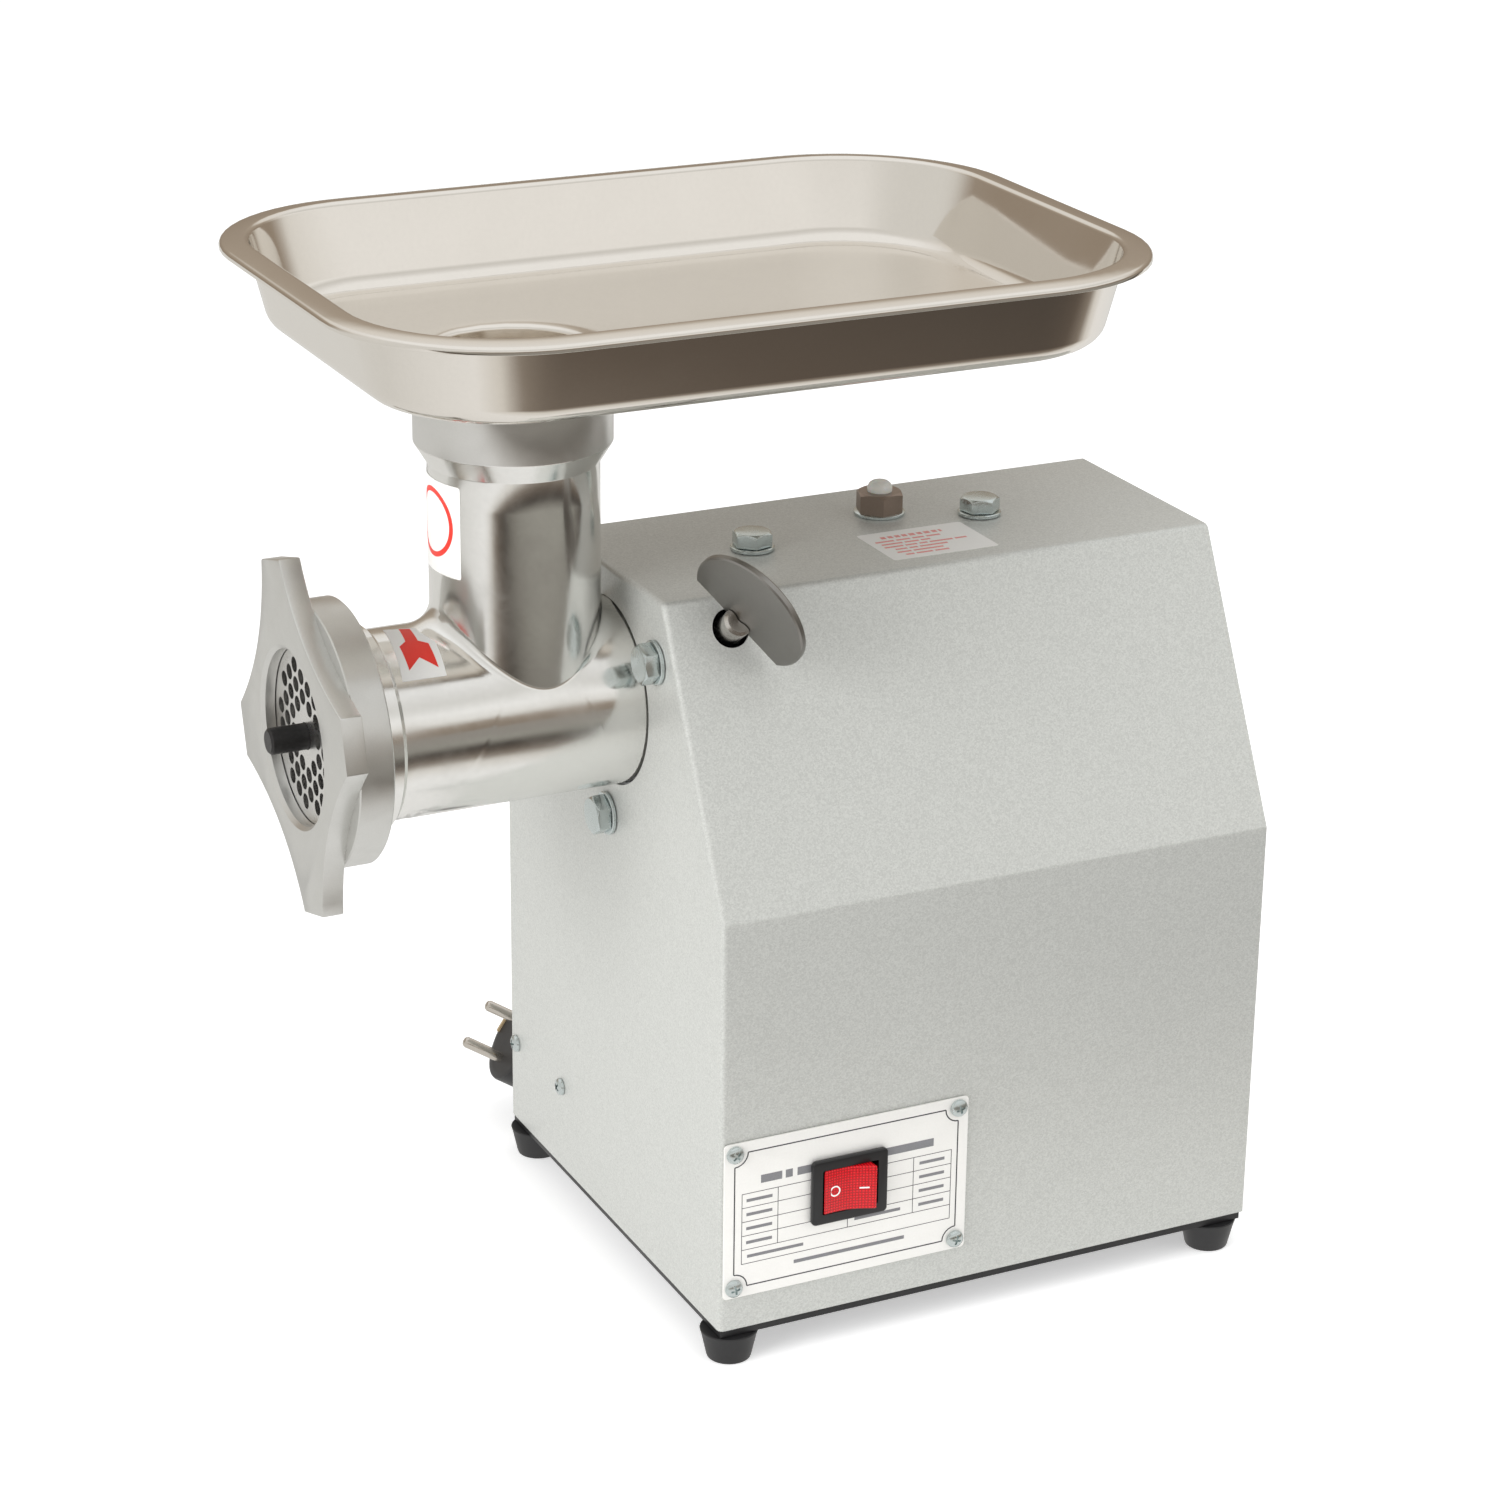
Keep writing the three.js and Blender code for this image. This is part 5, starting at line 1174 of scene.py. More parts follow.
@dataclass
class Housing:
    """Folded sheet housing with its feet and the hoods over its rear slots."""

    machine: Machine
    length: float = 237.0
    sheet: float = 1.5
    bend: float = 3.2
    front_edge: float = 2.4
    section: tuple[tuple[float, float], ...] = (
        (104, 16), (104, 186), (49.25, 295), (-49.25, 295), (-104, 186), (-104, 16),
    )
    axis_height: float = 244.7
    barrel_hole: float = 37.5
    slot_half: float = 24.0
    slot_sides: tuple[float, ...] = (-32.0, 32.0)
    slot_heights: tuple[float, ...] = (126, 140, 154, 168, 182)
    foot_places: tuple[tuple[str, float, float], ...] = (
        ("foot_front_switch_side", 8.5, -95.0), ("foot_front_far_side", 8.5, 95.0),
        ("foot_rear_switch_side", 226.0, -95.0), ("foot_rear_far_side", 226.0, 95.0),
    )

    def build(self, lock_hole: bpy.types.Object) -> None:
        """Builds the shell, the hoods and the feet.

        Args:
            lock_hole: Tool that cuts the lock screw's hole.
        """
        self.shell(lock_hole)
        self.hoods()
        self.feet()
        self.machine.dress(PAINT, ["rear_cover"])
        self.machine.dress(BLACK_STEEL, ["base_plate"])

    def shell(self, lock_hole: bpy.types.Object) -> None:
        """Folds the sheet, rounds its front edge, gives it its thickness and cuts its holes."""
        outline = rounded(self.section, [0, self.bend, self.bend, self.bend, self.bend, 0], 5)
        piece = prism("housing_skin", outline, 0, self.length)
        bpy.ops.object.mode_set(mode="EDIT")
        low = self.section[0][1] + 0.01
        pick_edges(piece, lambda a, b: max(a.x, b.x) < 0.01 and max(a.z, b.z) > low)
        bpy.ops.mesh.bevel(offset=self.front_edge, segments=4, profile=0.5)
        pick_faces(piece, lambda middle: middle.z < low or middle.x > self.length - 0.01)
        bpy.ops.mesh.delete(type="FACE")
        bpy.ops.object.mode_set(mode="OBJECT")
        wall = piece.modifiers.new("wall", "SOLIDIFY")
        wall.thickness = self.sheet
        wall.offset = -1
        wall.use_even_offset = True
        bpy.ops.object.modifier_apply(modifier=wall.name)
        carve(piece, turned("hole", [(self.barrel_hole, -5), (self.barrel_hole, 5)], Axis.X,
                            (0, 0, self.axis_height), 96))
        carve(piece, block("hole", (39.9, -115, 57.5), (67.5, -95, 79.9)))
        carve(piece, lock_hole)
        self.machine.seat(piece, PAINT, "housing", "housing_shell", slot="paint", smooth=30)

    def hoods(self) -> None:
        """Presses one curved hood and copies it over each rear slot."""
        curve = [(0.0, 6.6), (1.9, 5.9), (3.0, 4.2), (3.4, 2.2), (3.4, 0.2), (2.6, 0.2), (2.5, 2.0),
                 (2.0, 3.6),
                 (1.2, 4.8), (0.0, 5.4)]
        outline = [(self.length + 0.02 + x, z) for x, z in curve]
        pattern = prism("hood", outline, -self.slot_half - 1, self.slot_half + 1, Axis.Y)
        soften(pattern, 0.25, 2)
        hoods = [
            copied(pattern, f"hood_{i}", shift(0, side, height))
            for i, (side, height) in enumerate(
                (side, height) for side in self.slot_sides for height in self.slot_heights)
        ]
        discard(pattern)
        self.machine.seat(joined("rear_hoods", hoods), PAINT, "housing", slot="paint")

    def feet(self) -> None:
        """Turns one rubber foot and copies it to the four corners."""
        pattern = turned("foot", [
            (6.2, 0.5), (6.6, 0.0), (7.9, 0.0), (8.6, 0.3), (8.9, 1.1), (10.9, 10.2), (11.45, 12.0),
            (11.1, 12.4),
            (3.4, 12.4), (3.4, 21.6),
        ], sides=48)
        for name, x, y in self.foot_places:
            self.machine.seat(copied(pattern, f"rubber_{name}", shift(x, y, 0)), RUBBER, "housing", name,
                              slot="rubber")
        discard(pattern)


# ------------------------------------------------------------------------------------------ grinding head


@dataclass
class GrindingHead:
    """Cast head: a barrel with a throat that flows into it, a collar, a stepped mouth and its plate."""

    machine: Machine
    axis_height: float = 244.7
    throat_place: float = -38.4
    barrel: float = 36.5
    throat: float = 32.4
    collar: float = 37.4
    collar_low: float = 350.1
    collar_top: float = 384.1
    chamfer_low: float = 342.3
    mouth: float = -118.0
    ring: float = 39.2
    ring_back: float = -97.0
    front_seam: float = 3.0
    spigot_end: float = 40.0
    fillet_along: float = 10.0
    fillet_across: float = 3.4
    end_points: int = 56
    seam_points: int = 24
    skirt_rings: int = 12
    arc_steps: int = 8
    plate_radius: float = 34.9
    plate_front: float = -123.2
    plate_back: float = -116.2
    hole_radius: float = 3.05
    hole_pitch: float = 7.5
    hole_turn: float = 20.8
    innermost_hole: float = 10.55
    outermost_hole: float = 28.45
    stud_hole: float = 5.3
    notch_half: float = 2.8
    notch_depth: float = 2.3
    barrel_bore: float = 31.0
    plate_seat: float = 35.2
    mouth_depth: float = 13.0
    journal: float = 12.8
    end_wall: float = 12.0
    throat_bore: float = 27.5
    spout_seat: float = 31.0
    seat_floor: float = 356.1
    sleeve: float = 5.06
    sleeve_front: float = -138.12
    sleeve_back: float = -116.6

    def build(self) -> None:
        """Builds the casting, the hole plate and the black stud in front of it."""
        self.casting()
        self.hole_plate()
        self.stud()

    def perimeter(self) -> list[tuple[float, float]]:
        """Returns the edge of the unrolled barrel about the throat: distance along it and round it."""
        front, back = self.ring_back - self.throat_place, self.front_seam - self.throat_place
        half = math.pi * self.barrel
        points = [(back, -half + 2 * half * i / self.end_points) for i in range(self.end_points)]
        points += [(back + (front - back) * i / self.seam_points, half) for i in range(self.seam_points)]
        points += [(front, half - 2 * half * i / self.end_points) for i in range(self.end_points)]
        points += [(front + (back - front) * i / self.seam_points, -half) for i in range(self.seam_points)]
        return points

    def root(self, heading: float) -> tuple[list[tuple[float, float]], tuple[float, float]]:
        """Finds the fillet where the throat meets the barrel in one direction.

        Args:
            heading: Direction from the throat's axis, from +x.

        Returns:
            The fillet's points as distance from the throat's axis and height over the barrel's axis, and
            its lower end on the unrolled barrel.
        """
        radius = self.fillet_across + (self.fillet_along - self.fillet_across) * math.cos(heading) ** 2
        cross = math.sin(heading) ** 2
        low, high = self.throat, self.throat + radius
        for _ in range(40):
            reach = (low + high) / 2
            height = math.sqrt(max(self.barrel**2 - reach**2 * cross, 1e-6))
            slope = -reach * cross / height
            out = -slope / math.hypot(1, slope)
            if reach + radius * out > self.throat + radius:
                high = reach
            else:
                low = reach
        up = 1 / math.hypot(1, slope)
        centre = (self.throat + radius, height + radius * up)
        sweep = math.atan2(up, out)
        arc = [
            (centre[0] - radius * math.cos(sweep * i / self.arc_steps),
             centre[1] - radius * math.sin(sweep * i / self.arc_steps))
            for i in range(self.arc_steps + 1)
        ]
        across = reach * math.sin(heading)
        return arc, (reach * math.cos(heading), self.barrel * math.asin(across / self.barrel))

    def on_barrel(self, along: float, round_it: float) -> Vector:
        """Returns a point of the unrolled barrel in the machine's axes."""
        angle = round_it / self.barrel
        return Vector((
            self.throat_place + along, self.barrel * math.sin(angle),
            self.axis_height + self.barrel * math.cos(angle),
        ))

    def casting(self) -> None:
        """Lofts the skin from the collar down and round the barrel, closes its ends and bores it."""
        edge = self.perimeter()
        headings = [math.atan2(v, u) for u, v in edge]
        roots = [self.root(heading) for heading in headings]

        def circle(radius: float, height: float) -> list[Vector]:
            """Returns a ring about the throat's axis."""
            return [
                Vector((self.throat_place + radius * math.cos(h), radius * math.sin(h), height))
                for h in headings
            ]

        loops = [
            circle(self.collar - 0.9, self.collar_top), circle(self.collar - 0.25, self.collar_top - 0.25),
            circle(self.collar, self.collar_top - 0.9), circle(self.collar, self.collar_low + 0.3),
            circle(self.collar - 0.25, self.collar_low - 0.2),
            circle(self.throat + 0.2, self.chamfer_low + 0.2),
            circle(self.throat, self.chamfer_low - 0.2), circle(self.throat, self.chamfer_low - 12),
        ]
        for step in range(self.arc_steps + 1):
            loops.append([
                Vector((
                    self.throat_place + arc[step][0] * math.cos(h), arc[step][0] * math.sin(h),
                    self.axis_height + arc[step][1],
                ))
                for h, (arc, _) in zip(headings, roots)
            ])
        for step in range(1, self.skirt_rings + 1):
            share = (step / self.skirt_rings) ** 1.15
            loops.append([
                self.on_barrel(foot[0] + (u - foot[0]) * share, foot[1] + (v - foot[1]) * share)
                for (u, v), (_, foot) in zip(edge, roots)
            ])
        piece = lofted("head_casting", loops, end=End.OPEN)
        bpy.ops.object.mode_set(mode="EDIT")
        bpy.ops.mesh.select_all(action="SELECT")
        bpy.ops.mesh.remove_doubles(threshold=0.01)
        self.close_end(piece, self.ring_back, [
            (self.ring - 1.9, self.ring_back), (self.ring, self.ring_back - 1.9),
            (self.ring, self.mouth + 0.8),
            (self.ring - 0.8, self.mouth),
        ])
        self.close_end(piece, self.front_seam, [
            (self.barrel, self.spigot_end - 1), (self.barrel - 1, self.spigot_end),
        ])
        bpy.ops.mesh.select_all(action="SELECT")
        bpy.ops.mesh.normals_make_consistent(inside=False)
        bpy.ops.object.mode_set(mode="OBJECT")
        self.bore(piece)
        turned_low = self.collar_low + 0.1
        self.machine.seat(piece, CAST, "head", "grinder_head", slot="cast", smooth=32,
                          part=(COLLAR, lambda middle: middle.z > turned_low))

    def close_end(self, piece: bpy.types.Object, place: float, rings: Profile) -> None:
        """Carries an open end of the barrel on through more rings and fills it.

        Args:
            piece: The casting, in edit mode.
            place: Where the open end is.
            rings: Radius and place of each further ring.
        """
        pick_edges(piece, lambda a, b: abs(a.x - place) < 0.02 and abs(b.x - place) < 0.02)
        for radius, along in rings:
            bpy.ops.mesh.extrude_region_move()
            work = edit_mesh(piece)
            for vert in work.verts:
                if vert.select:
                    spoke = Vector((0, vert.co.y, vert.co.z - self.axis_height)).normalized() * radius
                    vert.co = (along, spoke.y, self.axis_height + spoke.z)
            bmesh.update_edit_mesh(piece.data)
        bpy.ops.mesh.edge_face_add()

    def bore(self, piece: bpy.types.Object) -> None:
        """Cuts the barrel's bore, the plate's seat, the journal, the throat and the collar's seat."""
        here, place = (0, 0, self.axis_height), (self.throat_place, 0, 0)
        plate_seat = self.plate_seat
        cuts = [
            turned("bore", [
                (self.barrel_bore, self.mouth - 1), (self.barrel_bore, self.spigot_end - self.end_wall),
            ], Axis.X, here, 96),
            turned("bore", [
                (plate_seat + 1, self.mouth - 1), (plate_seat + 1, self.mouth), (plate_seat, self.mouth + 1),
                (plate_seat, self.mouth + self.mouth_depth),
            ], Axis.X, here, 96),
            turned("bore", [
                (self.journal, self.spigot_end - self.end_wall - 1), (self.journal, self.spigot_end + 1),
            ], Axis.X, here, 48),
            turned("bore", [
                (self.throat_bore, self.axis_height), (self.throat_bore, self.collar_top + 1),
            ], Axis.Z, place, 96),
            turned("bore", [
                (self.spout_seat, self.seat_floor), (self.spout_seat, self.collar_top - 1.2),
                (self.spout_seat + 2.2, self.collar_top + 1),
            ], Axis.Z, place, 96),
        ]
        for tool in cuts:
            carve(piece, tool)

    def hole_plate(self) -> None:
        """Drills the plate on its triangular pitch and cuts its key notch."""
        front, back = self.plate_front, self.plate_back
        here = (0, 0, self.axis_height)
        piece = turned("hole_plate_ground", [
            (self.plate_radius - 0.5, front), (self.plate_radius, front + 0.5),
            (self.plate_radius, back - 0.5),
            (self.plate_radius - 0.5, back),
        ], Axis.X, here, 128)
        pattern = turned(
            "drill", [(self.hole_radius, front - 1), (self.hole_radius, back + 1)], Axis.X, here, 18,
        )
        drills = []
        for row in range(-4, 5):
            for column in range(-5, 6):
                across = (column + (0.5 if row % 2 else 0)) * self.hole_pitch
                up = row * self.hole_pitch * math.sqrt(3) / 2
                if self.innermost_hole < math.hypot(across, up) < self.outermost_hole:
                    drills.append(copied(pattern, f"drill_{len(drills)}", shift(0, across, up)))
        discard(pattern)
        tool = joined("drills", drills)
        tool.data.transform(spin(self.hole_turn, "X", here))
        carve(piece, tool)
        drill = turned("drill", [(self.stud_hole, front - 1), (self.stud_hole, back + 1)], Axis.X, here, 48)
        carve(piece, drill)
        top, half = self.axis_height + self.plate_radius, self.notch_half
        carve(piece, block("notch", (front - 1, -half, top - self.notch_depth), (back + 1, half, top + 1)))
        self.machine.seat(piece, PLATE_STEEL, "head", "hole_plate", slot="steel", smooth=28)

    def stud(self) -> None:
        """Sleeves the auger's stud in blackened steel with a chamfered end."""
        piece = turned("stud_sleeve", [
            (0.6, self.sleeve_front), (4.2, self.sleeve_front), (self.sleeve, -137.3),
            (self.sleeve, self.sleeve_back),
        ], Axis.X, (0, 0, self.axis_height), 48)
        self.machine.seat(piece, BLACKENED, "auger", slot="steel")


# ------------------------------------------------------------------------------------------ ring nut


@dataclass
class RingNut:
    """Winged nut that holds the plate: a wing plate with hollow flanks on a round skirt."""

    machine: Machine
    axis_height: float = 244.7
    front: float = -128.8
    wing_back: float = -120.3
    back: float = -106.9
    opening: float = 33.6
    inside: float = 39.8
    lip_back: float = -123.5
    skirt: float = 50.8
    long_wing: float = 67.0
    short_wing: float = 59.0
    tip: float = 10.5
    waist: tuple[float, float] = (20.2, 32.3)
    turn: float = 15.8
    curve_steps: int = 14

    def wing_outline(self) -> list[tuple[float, float]]:
        """Returns the wing plate's outline: flat tips joined by hollow curves."""
        quarter = []
        start, end = Vector((self.tip, self.long_wing)), Vector((self.short_wing, self.tip))
        bend = Vector(self.waist)
        for i in range(self.curve_steps + 1):
            t = i / self.curve_steps
            quarter.append(start * (1 - t) ** 2 + bend * 2 * t * (1 - t) + end * t**2)
        outline = [(p.x, p.y) for p in quarter]
        outline += [(p.x, -p.y) for p in reversed(quarter)]
        outline += [(-p.x, -p.y) for p in quarter]
        outline += [(-p.x, p.y) for p in reversed(quarter)]
        return outline

    def build(self) -> None:
        """Joins the wing plate to the skirt, softens it and bores it."""
        place = shift(0, 0, self.axis_height)
        piece = prism("ring_nut_cast", self.wing_outline(), self.front, self.wing_back)
        soften(piece, 0.6, 2, 25)
        skirt = turned("skirt", [
            (self.skirt - 0.5, self.wing_back - 0.3), (self.skirt, self.wing_back + 0.2),
            (self.skirt, self.back - 0.6), (self.skirt - 0.6, self.back),
        ], Axis.X, sides=120)
        carve(piece, skirt, Carve.JOIN)
        carve(piece, turned("mouth", [
            (self.opening + 1.6, self.front - 0.1), (self.opening, self.front + 1.5),
            (self.opening, self.lip_back + 1),
        ], Axis.X, sides=120))
        carve(piece, turned("thread_bore", [
            (self.inside, self.lip_back), (self.inside, self.back - 0.8),
            (self.inside + 1.2, self.back + 0.6),
        ], Axis.X, sides=120))
        piece.data.transform(place @ spin(-self.turn, "X"))
        self.machine.seat(piece, NUT_METAL, "ring_nut", "ring_nut", slot="cast", smooth=32)


# ------------------------------------------------------------------------------------------ feed tray


@dataclass
class FeedTray:
    """Pressed tray with a rolled rim and a round spout that drops into the collar."""

    machine: Machine
    centre: float = 31.8
    spout_place: float = -38.4
    bottom: float = 384.4
    length: float = 324.0
    width: float = 234.0
    corner: float = 68.0
    depth: float = 34.7
    rim: float = 9.6
    rim_fall: float = 1.2
    lip: float = 2.6
    taper: float = 8.4
    sheet: float = 1.2
    fillet: float = 9.0
    spout: float = 30.7
    spout_wall: float = 1.4
    spout_length: float = 24.0
    corner_steps: int = 14
    long_steps: int = 8
    short_steps: int = 5

    def rim_loop(self, inset: float, height: float) -> list[Vector]:
        """Returns a rounded rectangle drawn in from the rim's outline."""
        half_length, half_width = self.length / 2 - inset, self.width / 2 - inset
        radius = max(self.corner - inset, 12.0)
        points = []
        for side_x, side_y, start in ((1, 1, 0), (-1, 1, 90), (-1, -1, 180), (1, -1, 270)):
            hub = Vector((side_x * (half_length - radius), side_y * (half_width - radius)))
            arc = [
                hub + radius * Vector((math.cos(math.radians(start + 90 * i / self.corner_steps)),
                                       math.sin(math.radians(start + 90 * i / self.corner_steps))))
                for i in range(self.corner_steps + 1)
            ]
            steps = self.long_steps if start in (0, 180) else self.short_steps
            last = arc[-1]
            across = Vector((-2 * hub.x, 0)) if start in (0, 180) else Vector((0, -2 * hub.y))
            points += arc + [last + across * i / steps for i in range(1, steps)]
        return [Vector((self.centre + p.x, p.y, self.bottom + height)) for p in points]

    def spout_loop(self, radius: float, height: float, aim: Loop) -> list[Vector]:
        """Returns a circle about the spout with one point towards each point of another loop."""
        hub = Vector((self.spout_place, 0))
        return [
            Vector((*(hub + (point.xy - hub).normalized() * radius), self.bottom + height)) for point in aim
        ]

    def build(self) -> None:
        """Lofts the sheet as one closed section: up the outside, over the rim and down the inside."""
        foot = self.rim + self.taper
        edge = self.depth - self.rim_fall
        section = rounded([
            (46.0, 0.0), (foot, 0.0), (self.rim, self.depth - self.sheet), (self.sheet, edge - self.sheet),
            (self.sheet, edge - self.lip), (0.0, edge - self.lip), (0.0, edge),
            (self.rim + self.sheet, self.depth), (foot + self.sheet, self.sheet), (46.0, self.sheet),
        ], [0, self.fillet, 1.0, 0.6, 0, 0.3, 1.8, 2.2, self.fillet - self.sheet, 0], 5)
        walls = [self.rim_loop(inset, height) for inset, height in section]
        aim = self.rim_loop(46.0, 0)
        outer = rounded(
            [(self.spout, -self.spout_length), (self.spout, 0), (self.spout + 8, 0)], [0, 3.0, 0], 4,
        )
        bore = self.spout - self.spout_wall
        inner = rounded(
            [(bore + 9.4, self.sheet), (bore, self.sheet), (bore, -self.spout_length)], [0, 1.9, 0], 4,
        )
        loops = [self.spout_loop(r, z, aim) for r, z in outer]
        loops += walls
        loops += [self.spout_loop(r, z, aim) for r, z in inner]
        piece = lofted("feed_tray_pressed", loops, closed=True)
        self.machine.seat(piece, STAINLESS, "tray", "feed_tray", slot="stainless", smooth=40)


# ------------------------------------------------------------------------------------------ lock screw


@dataclass
class LockScrew:
    """Screw that presses on the barrel through the slanted panel, with its welded disc."""

    machine: Machine
    place: tuple[float, float, float] = (25.7, 0.0, 244.7)
    lean: float = 54.6
    disc_turn: float = 31.9
    rod: float = 5.7
    point: float = 36.8
    reach: float = 76.5
    flat_start: float = 72.2
    disc: float = 25.3
    disc_centre: float = 84.5
    disc_start: float = 72.5
    hole: float = 7.5

    def frame(self) -> Matrix:
        """Returns the place of the screw's own axes, with z outwards along it."""
        return (
            Matrix.Translation(self.place) @ Matrix.Rotation(math.radians(self.lean), 4, "X")
            @ Matrix.Rotation(math.radians(self.disc_turn), 4, "Z")
        )

    def hole_tool(self) -> bpy.types.Object:
        """Returns the tool that cuts the screw's hole in the panel."""
        tool = turned("hole", [(self.hole, 50), (self.hole, 90)], sides=48)
        tool.data.transform(self.frame())
        return tool

    def build(self) -> None:
        """Turns the screw, mills its flat and welds the disc to it."""
        rod = turned("lock_rod", [
            (self.rod - 2, self.point), (self.rod, self.point + 2), (self.rod, self.reach - 1.1),
            (self.rod - 1.1, self.reach), (2.4, self.reach), (0.5, self.reach - 1.3),
        ], sides=48)
        carve(rod, block("flat", (0.3, -10, self.flat_start), (10, 10, self.reach + 1)))
        rod.data.transform(self.frame())
        self.machine.seat(rod, ROD_STEEL, "lock_screw", "lock_screw", slot="steel")
        disc = turned("lock_disc_plate", [
            (self.disc - 0.6, 0.6), (self.disc, 1.2), (self.disc, 3.0), (self.disc - 0.6, 3.6),
        ], Axis.X, (0, 0, self.disc_centre), 96)
        carve(disc, block("chord", (-1, -40, 40), (6, 40, self.disc_start)))
        disc.data.transform(self.frame())
        self.machine.seat(disc, DISC_STEEL, "lock_screw", "lock_disc", slot="steel")


# ------------------------------------------------------------------------------------------ fasteners


@dataclass
class Fasteners:
    """Hexagon bolts, washers, pan screws and the vent, each modelled once and copied."""

    machine: Machine
    flats: float = 14.0
    head: float = 5.6
    washer: float = 8.6
    washer_hole: float = 4.3
    washer_thick: float = 1.6
    screw: float = 3.6
    screw_head: float = 2.2
    flange_places: tuple[tuple[float, float], ...] = ((-44.5, 270.4), (44.5, 270.4), (0.0, 193.3))
    top_places: tuple[tuple[str, float, float], ...] = (("front", 58.7, -4.7), ("rear", 160.6, -1.3))
    vent_place: tuple[float, float] = (124.7, 15.9)
    vent_flats: float = 17.0
    vent_low: float = 296.35
    vent_high: float = 304.4
    flange_turns: tuple[float, ...] = (11.0, 24.0, 3.0)
    top_turns: tuple[float, ...] = (18.0, 40.0)
    flange_bolt_face: float = -2.0
    flange_washer_face: float = -0.3
    top_bolt_face: float = 297.0
    top_washer_face: float = 295.2
    front_screw_face: float = -0.2
    rear_screw_face: float = 237.2
    nameplate_screw_face: float = -105.15

    @staticmethod
    def hexagon(name: str, flats: float, low: float, high: float, chamfer: float = 1.3) -> bpy.types.Object:
        """Returns a hexagon whose upper corners are turned away, as on a bolt's head."""
        corner = flats / math.sqrt(3)
        outline = [
            (corner * math.cos(math.radians(60 * i)), corner * math.sin(math.radians(60 * i))) for i in range(
                6,
            )
        ]
        piece = prism(name, outline, low, high, Axis.Z)
        cone = turned("cone", [
            (corner + 1, low - 1), (corner + 0.35, high - chamfer), (flats / 2 - 0.35, high + 0.01),
        ], sides=60)
        carve(piece, cone, Carve.COMMON)
        return soften(piece, 0.22, 2, 30)

    def build(self) -> None:
        """Copies each fastener to its places."""
        bolt = self.hexagon("bolt", self.flats, 0, self.head)
        ring = turned("washer", [
            (self.washer_hole, 0), (self.washer - 0.3, 0), (self.washer, 0.3),
            (self.washer, self.washer_thick - 0.3),
            (self.washer - 0.3, self.washer_thick), (self.washer_hole, self.washer_thick),
        ], sides=56, closed=True)
        outwards = spin(-90, "Y")
        for i, (y, z) in enumerate(self.flange_places, start=1):
            head = shift(self.flange_bolt_face, y, z) @ outwards @ spin(self.flange_turns[i - 1], "Z")
            flat = shift(self.flange_washer_face, y, z) @ outwards
            self.machine.seat(copied(bolt, f"flange_bolt_head_{i}", head), ZINC, "housing",
                              f"flange_bolt_{i}",
                              slot="zinc", smooth=28)
            self.machine.seat(copied(ring, f"flange_washer_ring_{i}", flat), ZINC, "housing",
                              f"flange_washer_{i}",
                              slot="zinc", smooth=28)
        for i, (name, x, y) in enumerate(self.top_places):
            head = shift(x, y, self.top_bolt_face) @ spin(self.top_turns[i], "Z")
            flat = shift(x, y, self.top_washer_face)
            self.machine.seat(copied(bolt, f"top_bolt_head_{name}", head), ZINC, "housing",
                              f"top_bolt_{name}",
                              slot="zinc", smooth=28)
            self.machine.seat(copied(ring, f"top_washer_ring_{name}", flat), ZINC, "housing",
                              f"top_washer_{name}", slot="zinc", smooth=28)
        discard(bolt)
        discard(ring)
        self.screws()
        self.vent()

    def pan_screw(self) -> bpy.types.Object:
        """Turns a domed head and sinks its cross recess."""
        piece = turned("pan_screw", [
            (self.screw, 0), (self.screw, 0.5), (self.screw * 0.93, 1.2), (self.screw * 0.7, 1.8),
            (self.screw * 0.35, self.screw_head), (0.3, self.screw_head),
        ], sides=40)
        for turn in (0, 90):
            blade = block("blade", (-1.9, -0.42, 0.9), (1.9, 0.42, 3.0))
            blade.data.transform(spin(turn, "Z"))
            carve(piece, blade)
        return piece

    def screws(self) -> None:
        """Copies the pan screw to the front panel, the rear cover and the nameplate."""
        pattern = self.pan_screw()
        to_front, to_rear, to_side = spin(-90, "Y"), spin(90, "Y"), spin(90, "X")
        face = self.front_screw_face
        places = [(f"front_screw_{i + 1}", shift(face, y, z) @ to_front @ spin(20 + 35 * i, "Z"))
                  for i, (y, z) in enumerate(((97.0, 51.6), (49.0, 52.7)))]
        machine = self.machine
        for i in range(4):
            middle = machine.middle(f"rear_screw_{i + 1}")
            to_place = shift(self.rear_screw_face, middle.y, middle.z)
            places.append(
                (f"rear_screw_{i + 1}", to_place @ to_rear @ spin(25 * i, "Z")),
            )
            middle = machine.middle(f"nameplate_screw_{i + 1}")
            places.append((
                f"nameplate_screw_{i + 1}",
                shift(middle.x, self.nameplate_screw_face, middle.z) @ to_side @ spin(12 + 31 * i, "Z")))
        for name, move in places:
            machine.seat(copied(pattern, f"{name}_head", move), ZINC, "housing", name, slot="zinc")
        discard(pattern)

    def vent(self) -> None:
        """Makes the brown vent hexagon and its milky cap."""
        x, y = self.vent_place
        plug = self.hexagon("vent_hexagon", self.vent_flats, self.vent_low, self.vent_high, 1.2)
        plug.data.transform(shift(x, y, 0) @ spin(12, "Z"))
        self.machine.seat(plug, BRONZE, "vent_cap", "vent_plug", slot="bronze", smooth=28)
        ring = turned("vent_washer", [
            (6.5, 295.05), (9.9, 295.05), (10.2, 295.3), (10.2, 296.2), (9.9, 296.4), (6.5, 296.4),
        ], Axis.Z, (x, y, 0), 64, closed=True)
        self.machine.seat(ring, ZINC, "vent_cap", slot="zinc")
        cap = turned("vent_dome", [
            (5.0, 304.3), (5.0, 305.6), (4.85, 306.4), (4.3, 307.5), (3.3, 308.3), (2.0, 308.75),
            (0.5, 308.9),
        ], Axis.Z, (x, y, 0), 56)
        self.machine.seat(cap, MILKY, "vent_cap", "vent_cap", slot="milky")


# ------------------------------------------------------------------------------------------ nameplate, switch


